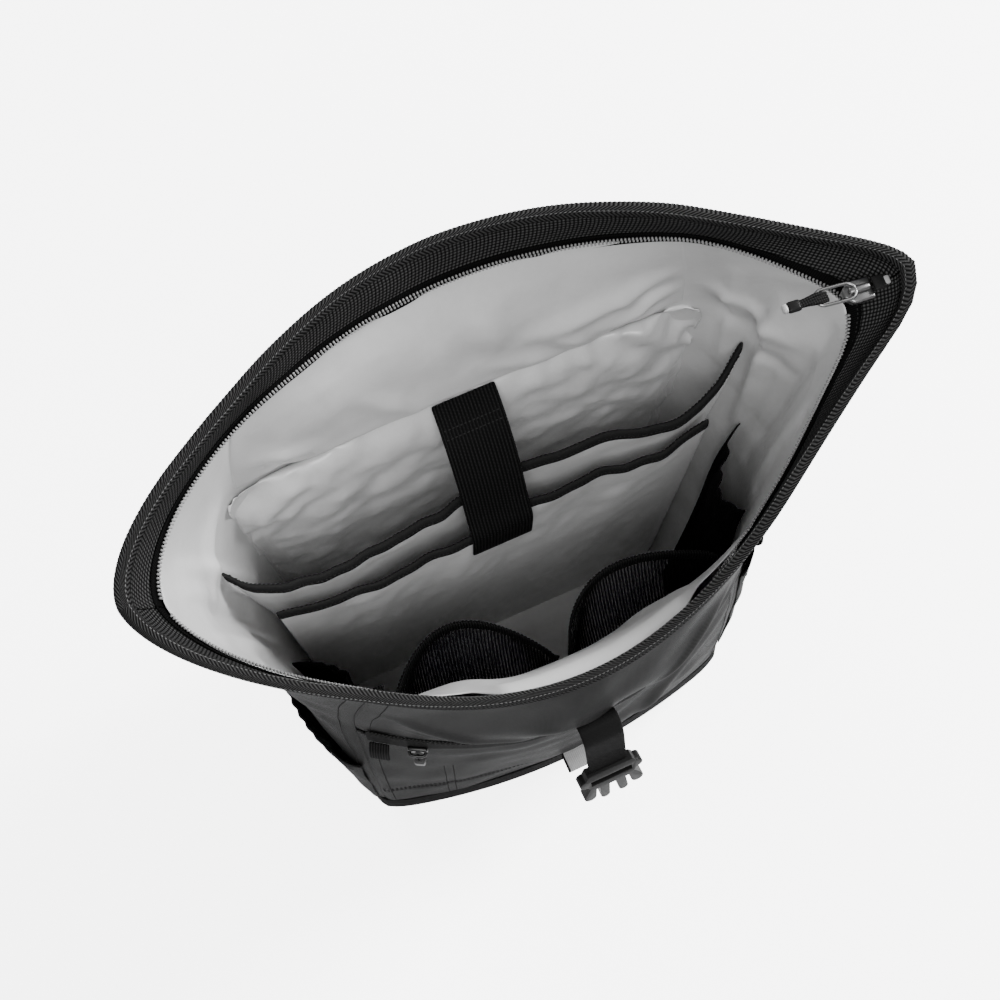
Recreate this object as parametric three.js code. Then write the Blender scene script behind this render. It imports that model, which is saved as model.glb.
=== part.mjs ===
// Rolltop backpack, standing open, seen mostly from above.
// Millimetres, +Z up. X runs across the pack (+X is the right hand of someone facing its front),
// -Y is the front with the closure strap, +Y is the side worn against the back.
// The origin lies under the middle of the base, on the surface that the pack stands on.

import * as THREE from 'three';

// Driving sizes of the bag
const bodyWidth = 282;
const frontDepth = 73;
const backDepth = 80;
const bodyHeight = 280;
const wrapHeight = 60;
const mouthRight = 204;
const tipFlatFront = 14;
const tipFlatBack = 6;
const mouthSliderX = 178.5;
const mouthSliderY = 6;
const mouthSliderDrop = 13;
const mouthLeft = 196;
const mouthFront = 100;
const mouthBack = 115;
const mouthHeight = 504.5;
const mouthTilt = 8;
const frontSag = 104;
const backRise = 3.5;

// Cloth and seams
const shellWall = 1.6;
const baseFloor = 4.5;
const baseWall = 2.2;
const liningWall = 1;
const seamGap = 0.4;
const layerGap = 0.9;
const linerInset = 3.4;
const seatGap = 0.35;
const linerFloor = 2;

// Mouth edge: binding tape, woven band and zip
const bindingDrop = 9;
const bindingWall = 1.1;
const bindingGap = 0.7;
const bandDrop = 24;
const bandWall = 1.2;
const mouthChain = 5.2;
const chainProud = 1.8;
const tipPullRight = 17;
const tipPullLeft = 5;

// Laptop and tablet sleeves
const seamHeight = 395;
const padThickness = 8;
const liningHem = 4;
const padSwell = 6;
const laptopDividerHeight = 350;
const tabletDividerHeight = 334;
const laptopDividerWall = 3;
const tabletDividerWall = 2.2;
const dividerSetback = 30;
const dividerFootSetback = 42;
const sleeveSpacing = 16;
const tabletSpanLeft = 141;
const tabletSpanRight = 130;
const bindingHeight = 7;
const sleeveStrapWidth = 38;
const sleeveStrapWall = 1.8;

// Pockets inside
const meshPocketTop = 304;
const meshPocketFoot = 150;
const meshBulgeLeft = 40;
const meshBulgeRight = 34;
const meshWall = 1;
const stretchPocketLeftTop = 262;
const stretchPocketRightTop = 312;
const stretchBulge = 24;
const liningSlack = 31;
const sideSlack = 4;

// Pockets outside
const bottlePocketLeftTop = 188;
const bottlePocketRightTop = 226;
const bottleBulge = 12;
const foldDepth = 17;
const pocketWall = 1.2;
const elasticHeight = 9;
const elasticWall = 1.8;

// Front zip under its flap
const frontZipHeight = bodyHeight;
const frontZipWidth = 6;
const flapHeight = 17;
const flapWall = 1.2;
const frontSliderPlace = 0.13;
const pullCord = 3;
const frontPullLength = 34;

// Closure strap and its buckle half
const closureWidth = 25;
const closureWall = 1.6;
const closureHeight = 311;
const buckleWidth = 41;
const buckleLength = 33;
const buckleThickness = 7;
const keeperWidth = 22;
const keeperHeight = 92;
const keeperShare = 0.515;
const keeperReach = 14;
const sideLoopWidth = 20;
const sideLoopRise = 30;

// Side with the shoulder straps
const backPadWidth = 216;
const backPadFoot = 70;
const backPadTop = 372;
const backPadThickness = 11;
const shoulderWidth = 60;
const shoulderThickness = 9;
const shoulderSpread = 66;
const webbingWidth = 25;
const webbingWall = 1.6;
const webbingInset = 5;
const webbingFootDrop = 24;
const adjusterWidth = 34;
const adjusterHeight = 20;
const adjusterThickness = 6;
const haulWidth = 15;
const haulRise = 36;
const haulThickness = 3;

// Plan sections from the base (level 0) to the front zip (level 1) and the mouth (level 2).
// frontX and backX are the seams between front, sides and back, as shares of half the body
// width. frontY and frontMid are shares of frontDepth and mouthFront, backY and backMid of
// backDepth and mouthBack. flare is the side's way from the body to the mouth's corner, and
// the last four say how pointed each half of a side is (2 is round, 1 is a straight point).
const SECTION_ROWS = [
  { level: 0.00, frontX: 0.950, frontY: 0.93, frontMid: 0.88, backX: 0.950, backY: 0.91, backMid: 0.66,
    flare: -0.05, leftFront: 2.0, leftBack: 2.0, rightFront: 2.0, rightBack: 2.0 },
  { level: 0.04, frontX: 0.990, frontY: 1.00, frontMid: 0.94, backX: 0.985, backY: 0.96, backMid: 0.70,
    flare: 0.00, leftFront: 2.0, leftBack: 2.0, rightFront: 2.0, rightBack: 2.0 },
  { level: 0.25, frontX: 0.990, frontY: 0.99, frontMid: 0.95, backX: 0.985, backY: 0.98, backMid: 0.71,
    flare: 0.07, leftFront: 2.0, leftBack: 2.0, rightFront: 2.0, rightBack: 2.0 },
  { level: 0.60, frontX: 0.970, frontY: 0.89, frontMid: 0.97, backX: 0.980, backY: 0.99, backMid: 0.71,
    flare: 0.19, leftFront: 2.0, leftBack: 2.0, rightFront: 2.0, rightBack: 2.0 },
  { level: 1.00, frontX: 0.925, frontY: 0.70, frontMid: 1.00, backX: 0.985, backY: 1.00, backMid: 0.73,
    flare: 0.37, leftFront: 1.9, leftBack: 2.0, rightFront: 1.9, rightBack: 2.0 },
  { level: 1.33, frontX: 0.890, frontY: 0.72, frontMid: 1.06, backX: 0.995, backY: 0.98, backMid: 0.73,
    flare: 0.58, leftFront: 1.7, leftBack: 2.0, rightFront: 1.5, rightBack: 1.85 },
  { level: 1.66, frontX: 0.830, frontY: 0.80, frontMid: 1.04, backX: 0.965, backY: 0.97, backMid: 0.79,
    flare: 0.80, leftFront: 1.5, leftBack: 1.95, rightFront: 1.15, rightBack: 1.5 },
  { level: 2.00, frontX: 0.775, frontY: 0.92, frontMid: 0.97, backX: 0.840, backY: 0.95, backMid: 0.97,
    flare: 1.00, leftFront: 1.60, leftBack: 1.9, rightFront: 0.88, rightBack: 1.1 },
];

// Soft folds of the outer cloth: place along the panel, level, half sizes of the fold, and how
// far it stands out as a share of foldDepth.
const FOLD_ROWS = [
  { panel: 0, place: 0.30, level: 1.50, wide: 0.22, tall: 0.16, out: 0.30 },
  { panel: 0, place: 0.78, level: 1.42, wide: 0.16, tall: 0.18, out: 0.26 },
  { panel: 0, place: 0.62, level: 1.22, wide: 0.20, tall: 0.10, out: -0.14 },
  { panel: 0, place: 0.55, level: 0.55, wide: 0.30, tall: 0.18, out: 0.20 },
  { panel: 3, place: 0.70, level: 1.40, wide: 0.14, tall: 0.22, out: -0.30 },
  { panel: 1, place: 0.30, level: 1.45, wide: 0.14, tall: 0.22, out: -0.26 },
];

// Dents and folds of the lining: out is a share of liningSlack, towards the inside.
const LINING_FOLD_ROWS = [
  { panel: 2, place: 0.18, level: 1.62, wide: 0.14, tall: 0.12, out: 0.22 },
  { panel: 2, place: 0.46, level: 1.72, wide: 0.18, tall: 0.10, out: 0.12 },
  { panel: 2, place: 0.80, level: 1.66, wide: 0.12, tall: 0.14, out: 0.18 },
  { panel: 3, place: 0.45, level: 1.66, wide: 0.10, tall: 0.14, out: 0.28 },
  { panel: 1, place: 0.60, level: 1.62, wide: 0.10, tall: 0.16, out: 0.24 },
  { panel: 0, place: 0.22, level: 1.60, wide: 0.12, tall: 0.14, out: 0.16 },
];

// How much of the slack the lining shows at each level.
const SLACK_ROWS = [
  { level: 0.0, share: 0.00 },
  { level: 0.5, share: 0.30 },
  { level: 1.0, share: 0.85 },
  { level: 1.4, share: 1.00 },
  { level: 1.7, share: 0.62 },
  { level: 2.0, share: 0.00 },
];

// Top edges of the two sleeve dividers seen from above: across is the share of the half span,
// back the setback from the middle plane and rise the climb of the edge towards its ends, both
// as shares of dividerSetback.
const LAPTOP_EDGE = [
  { across: -1.00, back: 1.26, rise: 0.90 }, { across: -0.92, back: 0.98, rise: 0.36 },
  { across: -0.72, back: 0.76, rise: 0.04 }, { across: -0.36, back: 0.88, rise: 0.00 },
  { across: -0.08, back: 1.10, rise: 0.00 }, { across: 0.20, back: 1.14, rise: 0.00 },
  { across: 0.42, back: 1.04, rise: 0.00 }, { across: 0.66, back: 0.86, rise: 0.00 },
  { across: 0.86, back: 0.98, rise: 0.20 }, { across: 1.00, back: 1.36, rise: 1.00 },
];
const TABLET_EDGE = [
  { across: -1.00, back: 0.54, rise: 0.00 }, { across: -0.72, back: 0.36, rise: 0.00 },
  { across: -0.34, back: 0.32, rise: 0.00 }, { across: -0.10, back: 0.46, rise: 0.00 },
  { across: 0.16, back: 0.58, rise: 0.00 }, { across: 0.50, back: 0.56, rise: 0.00 },
  { across: 0.80, back: 0.52, rise: 0.06 }, { across: 1.00, back: 0.62, rise: 0.20 },
];

// Levels and places that all the layers of the wall share, so that their facets run parallel.
const BODY_LEVELS = [0.4, 0.6, 0.8];
const COLLAR_LEVELS = [1.22, 1.44, 1.64, 1.79, 1.9];
const PANEL_STEPS = [12, 10, 10, 10];
const RING_STEPS = 24;
const SOFT_PASSES = 2;

const [FRONT, RIGHT, BACK, LEFT] = [0, 1, 2, 3];

// Materials
const finish = (color, roughness, metalness = 0) =>
  new THREE.MeshStandardMaterial({ color, roughness, metalness });
const coatedCloth = () => finish(0x2a2b2d, 0.62);
const baseCloth = () => finish(0x1c1d1f, 0.7);
const wovenBand = () => finish(0x161718, 0.8);
const bindingTape = () => finish(0x232425, 0.85);
const satinLining = () => finish(0xa6a6a6, 0.5);
const feltBinding = () => finish(0x2e2f30, 0.95);
const blackWebbing = () => finish(0x101112, 0.7);
const meshCloth = () => finish(0x18191a, 0.85);
const zipCoil = () => finish(0x202122, 0.45);
const metalTrim = () => finish(0x8d8f91, 0.3, 1);
const mouldedBlack = () => finish(0x141516, 0.4);
const greyTrim = () => finish(0x8f9091, 0.6);

const pack = new THREE.Group();

function add(name, geometry, material) {
  const mesh = new THREE.Mesh(geometry, material);
  mesh.name = name;
  pack.add(mesh);
  return mesh;
}

// Small maths helpers
const lerp = (from, to, share) => from + (to - from) * share;
const hump = (share) => Math.sin(Math.PI * Math.min(1, Math.max(0, share)));
const vec = (x, y, z) => new THREE.Vector3(x, y, z);

function tableLookup(rows, key, columns) {
  const keys = rows.map((row) => row[key]);
  const values = rows.flatMap((row) => columns.map((column) => row[column]));
  const buffer = new Float64Array(columns.length);
  const curve = new THREE.CubicInterpolant(keys, values, columns.length, buffer);
  return (at) => {
    const found = curve.evaluate(at);
    return Object.fromEntries(columns.map((column, i) => [column, found[i]]));
  };
}

const sectionAt = tableLookup(SECTION_ROWS, 'level',
  ['frontX', 'frontY', 'frontMid', 'backX', 'backY', 'backMid', 'flare',
    'leftFront', 'leftBack', 'rightFront', 'rightBack']);
const slackAt = tableLookup(SLACK_ROWS, 'level', ['share']);
const laptopEdgeAt = tableLookup(LAPTOP_EDGE, 'across', ['back', 'rise']);
const tabletEdgeAt = tableLookup(TABLET_EDGE, 'across', ['back', 'rise']);

// Plan outline of the bag at one level, moved inwards by inset: a closed ring that starts at
// the seam between left side and front and runs counterclockwise seen from above.
function planRing(level, inset) {
  const row = sectionAt(level);
  const bodyHalf = bodyWidth / 2;
  const tipShare = 1 + 0.35 * Math.max(0, level - 1);
  const right = lerp(bodyHalf, mouthRight, row.flare) - inset * tipShare;
  const left = lerp(bodyHalf, mouthLeft, row.flare) - inset * tipShare;
  const frontX = row.frontX * bodyHalf - inset;
  const backX = row.backX * bodyHalf - inset;
  const frontY = inset - row.frontY * frontDepth;
  const frontMid = inset - row.frontMid * mouthFront;
  const backY = row.backY * backDepth - inset;
  const backMid = row.backMid * mouthBack - inset;
  const ring = [];
  for (let panel = 0; panel < 4; panel += 1) {
    for (let step = 0; step < RING_STEPS; step += 1) {
      const share = step / RING_STEPS;
      const way = 2 * share - 1;
      if (panel === FRONT) ring.push([way * frontX, lerp(frontMid, frontY, way * way)]);
      if (panel === BACK) ring.push([-way * backX, lerp(backMid, backY, way * way)]);
      if (panel === RIGHT) {
        const seam = lerp(frontX, backX, share);
        const point = way < 0 ? row.rightFront : row.rightBack;
        const reach = (way < 0 ? tipFlatFront : tipFlatBack) * Math.max(0, level - 1);
        const flat = reach / (row.backY * backDepth + row.frontY * frontDepth) * 2;
        const away = Math.max(0, Math.abs(way) - flat) / (1 - flat);
        ring.push([lerp(right, seam, away ** point), lerp(frontY, backY, share)]);
      }
      if (panel === LEFT) {
        const seam = lerp(backX, frontX, share);
        const point = way < 0 ? row.leftBack : row.leftFront;
        ring.push([-lerp(left, seam, Math.abs(way) ** point), lerp(backY, frontY, share)]);
      }
    }
  }
  return softened(ring);
}

function softened(ring) {
  let points = ring;
  const count = ring.length;
  for (let pass = 0; pass < SOFT_PASSES; pass += 1) {
    points = points.map((point, i) => {
      const before = points[(i + count - 1) % count];
      const after = points[(i + 1) % count];
      return point.map((value, axis) => value / 2 + (before[axis] + after[axis]) / 4);
    });
  }
  return points;
}

const ringCache = new Map();
function cachedRing(level, inset) {
  const key = `${level.toFixed(5)} ${inset.toFixed(4)}`;
  if (!ringCache.has(key)) ringCache.set(key, planRing(level, inset));
  return ringCache.get(key);
}

// A place on the wall is a number from 0 to 4: the panel, plus the share along it.
const panelOf = (place) => Math.floor(((place % 4) + 4) % 4);
const alongOf = (place) => (((place % 4) + 4) % 4) - panelOf(place);

function acrossMouth(place) {
  const mouth = sectionAt(2);
  const frontSeam = mouth.frontX * bodyWidth / (mouthLeft + mouthRight);
  const backSeam = mouth.backX * bodyWidth / (mouthLeft + mouthRight);
  const along = alongOf(place);
  const panel = panelOf(place);
  if (panel === FRONT) return { share: (2 * along - 1) * frontSeam, front: true };
  if (panel === BACK) return { share: (1 - 2 * along) * backSeam, front: false };
  const fromFront = panel === RIGHT ? along : 1 - along;
  const front = fromFront < 0.5;
  const seam = front ? frontSeam : backSeam;
  const share = lerp(seam, 1, 1 - Math.abs(2 * fromFront - 1));
  return { share: panel === RIGHT ? share : -share, front };
}

function rimHeight(place) {
  const { share, front } = acrossMouth(place);
  return mouthHeight + mouthTilt * share + (front ? -frontSag : backRise) * Math.cos(share * Math.PI / 2);
}

const levelAtHeight = (place, z) =>
  (z <= bodyHeight ? z / bodyHeight : 1 + (z - bodyHeight) / (rimHeight(place) - bodyHeight));
const levelBelowRim = (place, drop) => 2 - drop / (rimHeight(place) - bodyHeight);
const heightAt = (place, level) =>
  (level <= 1 ? level * bodyHeight : lerp(bodyHeight, rimHeight(place), level - 1));

function inwardOf(place) {
  return [vec(0, 1, 0), vec(-1, 0, 0), vec(0, -1, 0), vec(1, 0, 0)][panelOf(place)];
}

function wallPoint(place, level, inset = 0, push = 0) {
  const ring = cachedRing(level, inset);
  const spot = (((place % 4) + 4) % 4) * RING_STEPS;
  const from = Math.floor(spot) % ring.length;
  const to = (from + 1) % ring.length;
  const share = spot - Math.floor(spot);
  const point = vec(lerp(ring[from][0], ring[to][0], share), lerp(ring[from][1], ring[to][1], share),
    heightAt(place, level));
  return point.addScaledVector(inwardOf(place), push);
}

function foldPush(rows, scale, place, level) {
  let push = 0;
  for (const row of rows) {
    if (row.panel !== panelOf(place)) continue;
    const across = (alongOf(place) - row.place) / row.wide;
    const up = (level - row.level) / row.tall;
    push += row.out * scale * Math.exp(-across * across - up * up);
  }
  return push * hump(alongOf(place)) * Math.min(1, Math.max(0, (2 - level) / 0.15));
}

const shellPoint = (place, level, inset) =>
  wallPoint(place, level, inset, -foldPush(FOLD_ROWS, foldDepth, place, level));

// The zip pulls the mouth's corners in, so the band and the lining leave the shell there.
function tipPull(place, level) {
  const panel = panelOf(place);
  if (panel === FRONT || panel === BACK) return 0;
  const reach = panel === RIGHT ? tipPullRight : tipPullLeft;
  const near = Math.min(1, Math.max(0, (2 - level) / (bandDrop / (mouthHeight - bodyHeight))));
  return reach * hump(alongOf(place)) ** 2 * near * Math.max(0, Math.min(1, (level - 1.2) / 0.5));
}

function liningPoint(place, level, inset) {
  const panel = panelOf(place);
  const slack = panel === FRONT ? liningSlack : sideSlack;
  const loose = panel === BACK ? 0 : slack * slackAt(level).share * hump(alongOf(place));
  const folds = foldPush(LINING_FOLD_ROWS, liningSlack, place, level);
  return wallPoint(place, level, inset, loose + folds + tipPull(place, level));
}

// Closed solids from grids of points
function solid(points, faces) {
  let volume = 0;
  for (const [a, b, c] of faces) volume += points[a].dot(points[b].clone().cross(points[c]));
  const index = volume < 0 ? faces.map(([a, b, c]) => [a, c, b]) : faces;
  const geometry = new THREE.BufferGeometry();
  geometry.setAttribute('position', new THREE.Float32BufferAttribute(points.flatMap((p) => p.toArray()), 3));
  geometry.setIndex(index.flat());
  geometry.computeVertexNormals();
  return geometry;
}

const quad = (faces, a, b, c, d) => faces.push([a, b, c], [a, c, d]);

// A sheet with two faces: at(column, row, face) gives its points, face 0 or 1.
function sheet(columns, rows, at) {
  const points = [];
  const faces = [];
  const id = (i, j, face) => (face * (rows + 1) + j) * (columns + 1) + i;
  for (let face = 0; face < 2; face += 1) {
    for (let j = 0; j <= rows; j += 1) {
      for (let i = 0; i <= columns; i += 1) points.push(at(i, j, face));
    }
  }
  for (let j = 0; j < rows; j += 1) {
    for (let i = 0; i < columns; i += 1) {
      quad(faces, id(i, j, 0), id(i + 1, j, 0), id(i + 1, j + 1, 0), id(i, j + 1, 0));
      faces.push([id(i, j, 1), id(i + 1, j + 1, 1), id(i + 1, j, 1)]);
      faces.push([id(i, j, 1), id(i, j + 1, 1), id(i + 1, j + 1, 1)]);
    }
  }
  for (let i = 0; i < columns; i += 1) {
    quad(faces, id(i + 1, 0, 0), id(i, 0, 0), id(i, 0, 1), id(i + 1, 0, 1));
    quad(faces, id(i, rows, 0), id(i + 1, rows, 0), id(i + 1, rows, 1), id(i, rows, 1));
  }
  for (let j = 0; j < rows; j += 1) {
    quad(faces, id(0, j, 0), id(0, j + 1, 0), id(0, j + 1, 1), id(0, j, 1));
    quad(faces, id(columns, j + 1, 0), id(columns, j, 0), id(columns, j, 1), id(columns, j + 1, 1));
  }
  return solid(points, faces);
}

// A closed loft through rings of points with the same count, capped at both ends, or joined
// back to the first ring when the loft goes round.
function loft(rings, round = false) {
  const points = rings.flat();
  const count = rings[0].length;
  const faces = [];
  const spans = round ? rings.length : rings.length - 1;
  for (let k = 0; k < spans; k += 1) {
    const next = (k + 1) % rings.length;
    for (let i = 0; i < count; i += 1) {
      const j = (i + 1) % count;
      quad(faces, k * count + i, k * count + j, next * count + j, next * count + i);
    }
  }
  if (!round) {
    for (let i = 1; i < count - 1; i += 1) {
      faces.push([0, i + 1, i]);
      const top = (rings.length - 1) * count;
      faces.push([top, top + i, top + i + 1]);
    }
  }
  return solid(points, faces);
}

// Places along one panel, or round the whole ring
function panelPlaces(panel, from = 0, to = 1, steps = PANEL_STEPS[panel]) {
  return Array.from({ length: steps + 1 }, (_, i) => panel + lerp(from, to, i / steps));
}

function ringPlaces() {
  return PANEL_STEPS.flatMap((steps, panel) =>
    Array.from({ length: steps }, (_, i) => panel + i / steps));
}

// A place kept inside its panel by half the seam gap
function trimmed(place, panel, level) {
  const from = wallPoint(panel + 0.001, level);
  const to = wallPoint(panel + 0.999, level);
  const margin = seamGap / 2 / from.distanceTo(to);
  return Math.min(panel + 1 - margin, Math.max(panel + margin, place));
}

function shellPanel(panel, levels, wall) {
  const places = panelPlaces(panel);
  return sheet(places.length - 1, levels.length - 1, (i, j, face) =>
    shellPoint(trimmed(places[i], panel, levels[j]), levels[j], face * wall));
}

// Outer shell
const wrapLevel = wrapHeight / bodyHeight;
const zipHalf = frontZipWidth / 2 + 0.3;
const belowZip = (frontZipHeight - zipHalf) / bodyHeight;
const aboveZip = levelAtHeight(FRONT + 0.5, frontZipHeight + zipHalf);
const shellFoot = wrapLevel + seamGap / bodyHeight;

function buildBaseTub() {
  const places = ringPlaces();
  const ringAt = (level, inset, z) => places.map((place) => {
    const point = wallPoint(place, level, inset);
    return vec(point.x, point.y, z ?? point.z);
  });
  const rise = 0.04;
  const rings = [
    ringAt(0, 0), ringAt(rise, 0), ringAt(wrapLevel / 2, 0), ringAt(wrapLevel, 0),
    ringAt(wrapLevel, baseWall), ringAt(wrapLevel / 2, baseWall), ringAt(rise, baseWall, baseFloor),
  ];
  add('base_tub', loft(rings), baseCloth());
}

function buildShell() {
  const whole = [shellFoot, ...BODY_LEVELS, belowZip, aboveZip, ...COLLAR_LEVELS, 2];
  const pocketLevels = [shellFoot, ...BODY_LEVELS, belowZip];
  add('front_pocket_panel', shellPanel(FRONT, pocketLevels, shellWall), coatedCloth());
  add('front_collar_panel', shellPanel(FRONT, [aboveZip, ...COLLAR_LEVELS, 2], shellWall), coatedCloth());
  add('right_side_panel', shellPanel(RIGHT, whole, shellWall), coatedCloth());
  add('back_shell_panel', shellPanel(BACK, whole, shellWall), coatedCloth());
  add('left_side_panel', shellPanel(LEFT, whole, shellWall), coatedCloth());
}

// Mouth: binding tape folded over the edge, woven band, zip chain on the band's lower edge
const bandOuter = shellWall + layerGap;
const bindingLeg = bandOuter + bandWall + layerGap + 0.4;

function buildBinding() {
  const outer = -(bindingWall + bindingGap);
  const inner = bindingLeg + bindingWall;
  const section = [
    [outer, bindingDrop], [outer, -bindingWall - 0.4], [inner, -bindingWall - 0.4],
    [inner, bindingDrop], [bindingLeg, bindingDrop], [bindingLeg, -0.4], [-bindingGap, -0.4],
    [-bindingGap, bindingDrop],
  ];
  const rings = ringPlaces().map((place) => section.map(([inset, drop]) => {
    const level = Math.min(2, levelBelowRim(place, Math.max(0, drop)));
    const point = wallPoint(place, level, inset);
    if (drop < 0) point.z -= drop;
    return point;
  }));
  add('mouth_binding', loft(rings, true), bindingTape());
}

// Front runs from tip to tip through the front, and back through the back.
function tipToTip(from, margin) {
  const all = [];
  const panels = from === 'front' ? [LEFT - 4, FRONT, RIGHT] : [RIGHT, BACK, LEFT];
  panels.forEach((panel, order) => {
    const steps = PANEL_STEPS[(panel + 4) % 4];
    const first = order === 0 ? steps / 2 : 0;
    const last = order === 2 ? steps / 2 : steps;
    for (let i = first; i < last || (order === 2 && i === last); i += 1) all.push(panel + i / steps);
  });
  all[0] += margin;
  all[all.length - 1] -= margin;
  return all;
}

function bandPoint(place, drop, inset) {
  const level = levelBelowRim(place, drop);
  const below = Math.max(0, drop - bindingDrop) / (bandDrop - bindingDrop);
  return wallPoint(place, level, inset, tipPull(place, level) * Math.min(1, below));
}

function buildBands() {
  const drops = [0.6, bandDrop / 2, bandDrop];
  for (const half of ['front', 'back']) {
    const places = tipToTip(half, 0.002);
    add(`mouth_band_${half}`, sheet(places.length - 1, drops.length - 1, (i, j, face) =>
      bandPoint(places[i], drops[j], bandOuter + face * bandWall)), wovenBand());
  }
}

function buildMouthChains() {
  const drops = [bandDrop + 0.5, bandDrop + 0.5 + mouthChain];
  for (const half of ['front', 'back']) {
    const places = tipToTip(half, 0.002).slice(3, -3);
    add(`zip_chain_${half}`, sheet(places.length - 1, 1, (i, j, face) =>
      bandPoint(places[i], drops[j], bandOuter + face * (bandWall + chainProud))), zipCoil());
  }
}

// Lining, built where it shows, from the zip down to the floor of the bag
const liningTopDrop = bandDrop + mouthChain + 1.2;
const floorTop = baseFloor + seatGap + linerFloor;

function buildLining() {
  const footLevel = (baseFloor + 4) / bodyHeight;
  const panels = [
    ['lining_front', FRONT, footLevel], ['lining_right', RIGHT, footLevel],
    ['lining_back', BACK, null], ['lining_left', LEFT, footLevel],
  ];
  for (const [name, panel, foot] of panels) {
    const edge = panel === BACK ? 0.012 : 0;
    const places = panelPlaces(panel, edge, 1 - edge, PANEL_STEPS[panel] - 2);
    const rows = foot === null ? 4 : 8;
    add(name, sheet(places.length - 1, rows, (i, j, face) => {
      const top = levelBelowRim(places[i], liningTopDrop);
      const bottom = foot === null ? levelAtHeight(places[i], seamHeight + liningHem) : foot;
      const level = lerp(bottom, top, j / rows);
      const place = trimmed(places[i], panel, level);
      const deep = foot === null ? (padThickness + 1) * (1 - j / rows) ** 1.5 * hump(alongOf(place)) : 0;
      const point = liningPoint(place, level, linerInset + face * liningWall);
      return point.addScaledVector(inwardOf(place), deep);
    }), satinLining());
  }
}

function buildLiningFloor() {
  const level = 0.04;
  const places = ringPlaces();
  const ringAt = (z) => places.map((place) => {
    const point = wallPoint(place, level, linerInset);
    return vec(point.x, point.y, z);
  });
  add('lining_floor', loft([ringAt(baseFloor + seatGap), ringAt(floorTop)]), satinLining());
}

// Where the inner wall lies at one side: the largest x that keeps clear of the lining
function innerHalf(y, z, right, clearance) {
  const panel = right ? RIGHT : LEFT;
  let best = mouthLeft + mouthRight;
  for (let step = 1; step < 60; step += 1) {
    const place = panel + step / 60;
    const point = liningPoint(place, levelAtHeight(place, z), linerInset + liningWall);
    if (Math.abs(point.y - y) < 5) best = Math.min(best, Math.abs(point.x));
  }
  return best - clearance;
}

// Laptop sleeve: padded back, then two dividers with taped top edges. The strap over the
// sleeves comes out between the lining's hem and the top of the pad.
const strapSeat = seamHeight + liningHem - seatGap - sleeveStrapWall / 2;
const padTop = strapSeat - sleeveStrapWall / 2 - seatGap;

function buildSleevePad() {
  const rows = 8;
  const foot = floorTop + seatGap;
  const places = panelPlaces(BACK, 0.03, 0.97);
  const top = padTop;
  add('sleeve_back_pad', sheet(places.length - 1, rows, (i, j, face) => {
    const z = lerp(foot, top, j / rows);
    const level = levelAtHeight(places[i], z);
    const swell = padSwell * hump(j / rows) ** 0.5 * hump(alongOf(places[i])) ** 0.5;
    const depth = face * (padThickness + swell);
    return wallPoint(places[i], level, linerInset, depth);
  }), satinLining());
}

function dividerPoint(edgeAt, across, up, size) {
  const edge = edgeAt(across);
  const z = lerp(floorTop + seatGap, size.height + edge.rise * dividerSetback, up);
  const y = lerp(size.foot, edge.back * dividerSetback, up ** 0.8);
  const right = across > 0;
  const wall = innerHalf(y, z, right, 0.8);
  return vec(across * Math.min(right ? size.spanRight : size.spanLeft, wall), y, z);
}

function buildDivider(name, edgeAt, size) {
  const columns = 14;
  const rows = 4;
  const at = (across, up) => dividerPoint(edgeAt, across, up, size);
  add(name, sheet(columns, rows, (i, j, face) => {
    const point = at(lerp(-1, 1, i / columns), j / rows);
    point.y += (face - 0.5) * size.wall;
    return point;
  }), satinLining());
  const half = size.wall / 2 + 0.9;
  const profile = [[-half, 0], [half, 0], [half, bindingHeight * 0.75], [half * 0.5, bindingHeight],
    [-half * 0.5, bindingHeight], [-half, bindingHeight * 0.75]];
  const rings = Array.from({ length: columns + 1 }, (_, i) => {
    const point = at(lerp(-1, 1, i / columns), 1);
    return profile.map(([dy, dz]) => vec(point.x, point.y + dy, point.z + 0.3 + dz));
  });
  add(`${name}_binding`, loft(rings), feltBinding());
}

function buildDividers() {
  buildDivider('laptop_divider', laptopEdgeAt, {
    height: laptopDividerHeight, wall: laptopDividerWall, foot: dividerFootSetback,
    spanLeft: mouthLeft, spanRight: mouthRight,
  });
  buildDivider('tablet_divider', tabletEdgeAt, {
    height: tabletDividerHeight, wall: tabletDividerWall, foot: dividerFootSetback - sleeveSpacing,
    spanLeft: tabletSpanLeft, spanRight: tabletSpanRight,
  });
}

// A flat strap along a path, with its width across the path
function strapSolid(path, across, width, wall, steps) {
  const curve = new THREE.CatmullRomCurve3(path, false, 'centripetal');
  return sheet(steps, 1, (i, j, face) => {
    const along = curve.getTangent(i / steps);
    const normal = along.clone().cross(across).normalize();
    const point = curve.getPoint(i / steps);
    return point.addScaledVector(across, (j - 0.5) * width).addScaledVector(normal, (face - 0.5) * wall);
  });
}

function buildSleeveStrap() {
  const top = strapSeat;
  const front = tabletEdgeAt(0).back * dividerSetback - tabletDividerWall / 2 - 6.4;
  const low = tabletDividerHeight;
  const path = [
    vec(-0.5, 73, top), vec(-1.5, 60, top - 2), vec(-2.5, 46, top - 9), vec(-3.5, 31, top - 23),
    vec(-4.5, front + 9, low + 19), vec(-5, front + 1.5, low + 9), vec(-5.5, front, low - 3),
    vec(-6, front - 0.5, low - 16),
  ];
  add('sleeve_strap', strapSolid(path, vec(1, 0, 0), sleeveStrapWidth, sleeveStrapWall, 14), blackWebbing());
}

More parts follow.
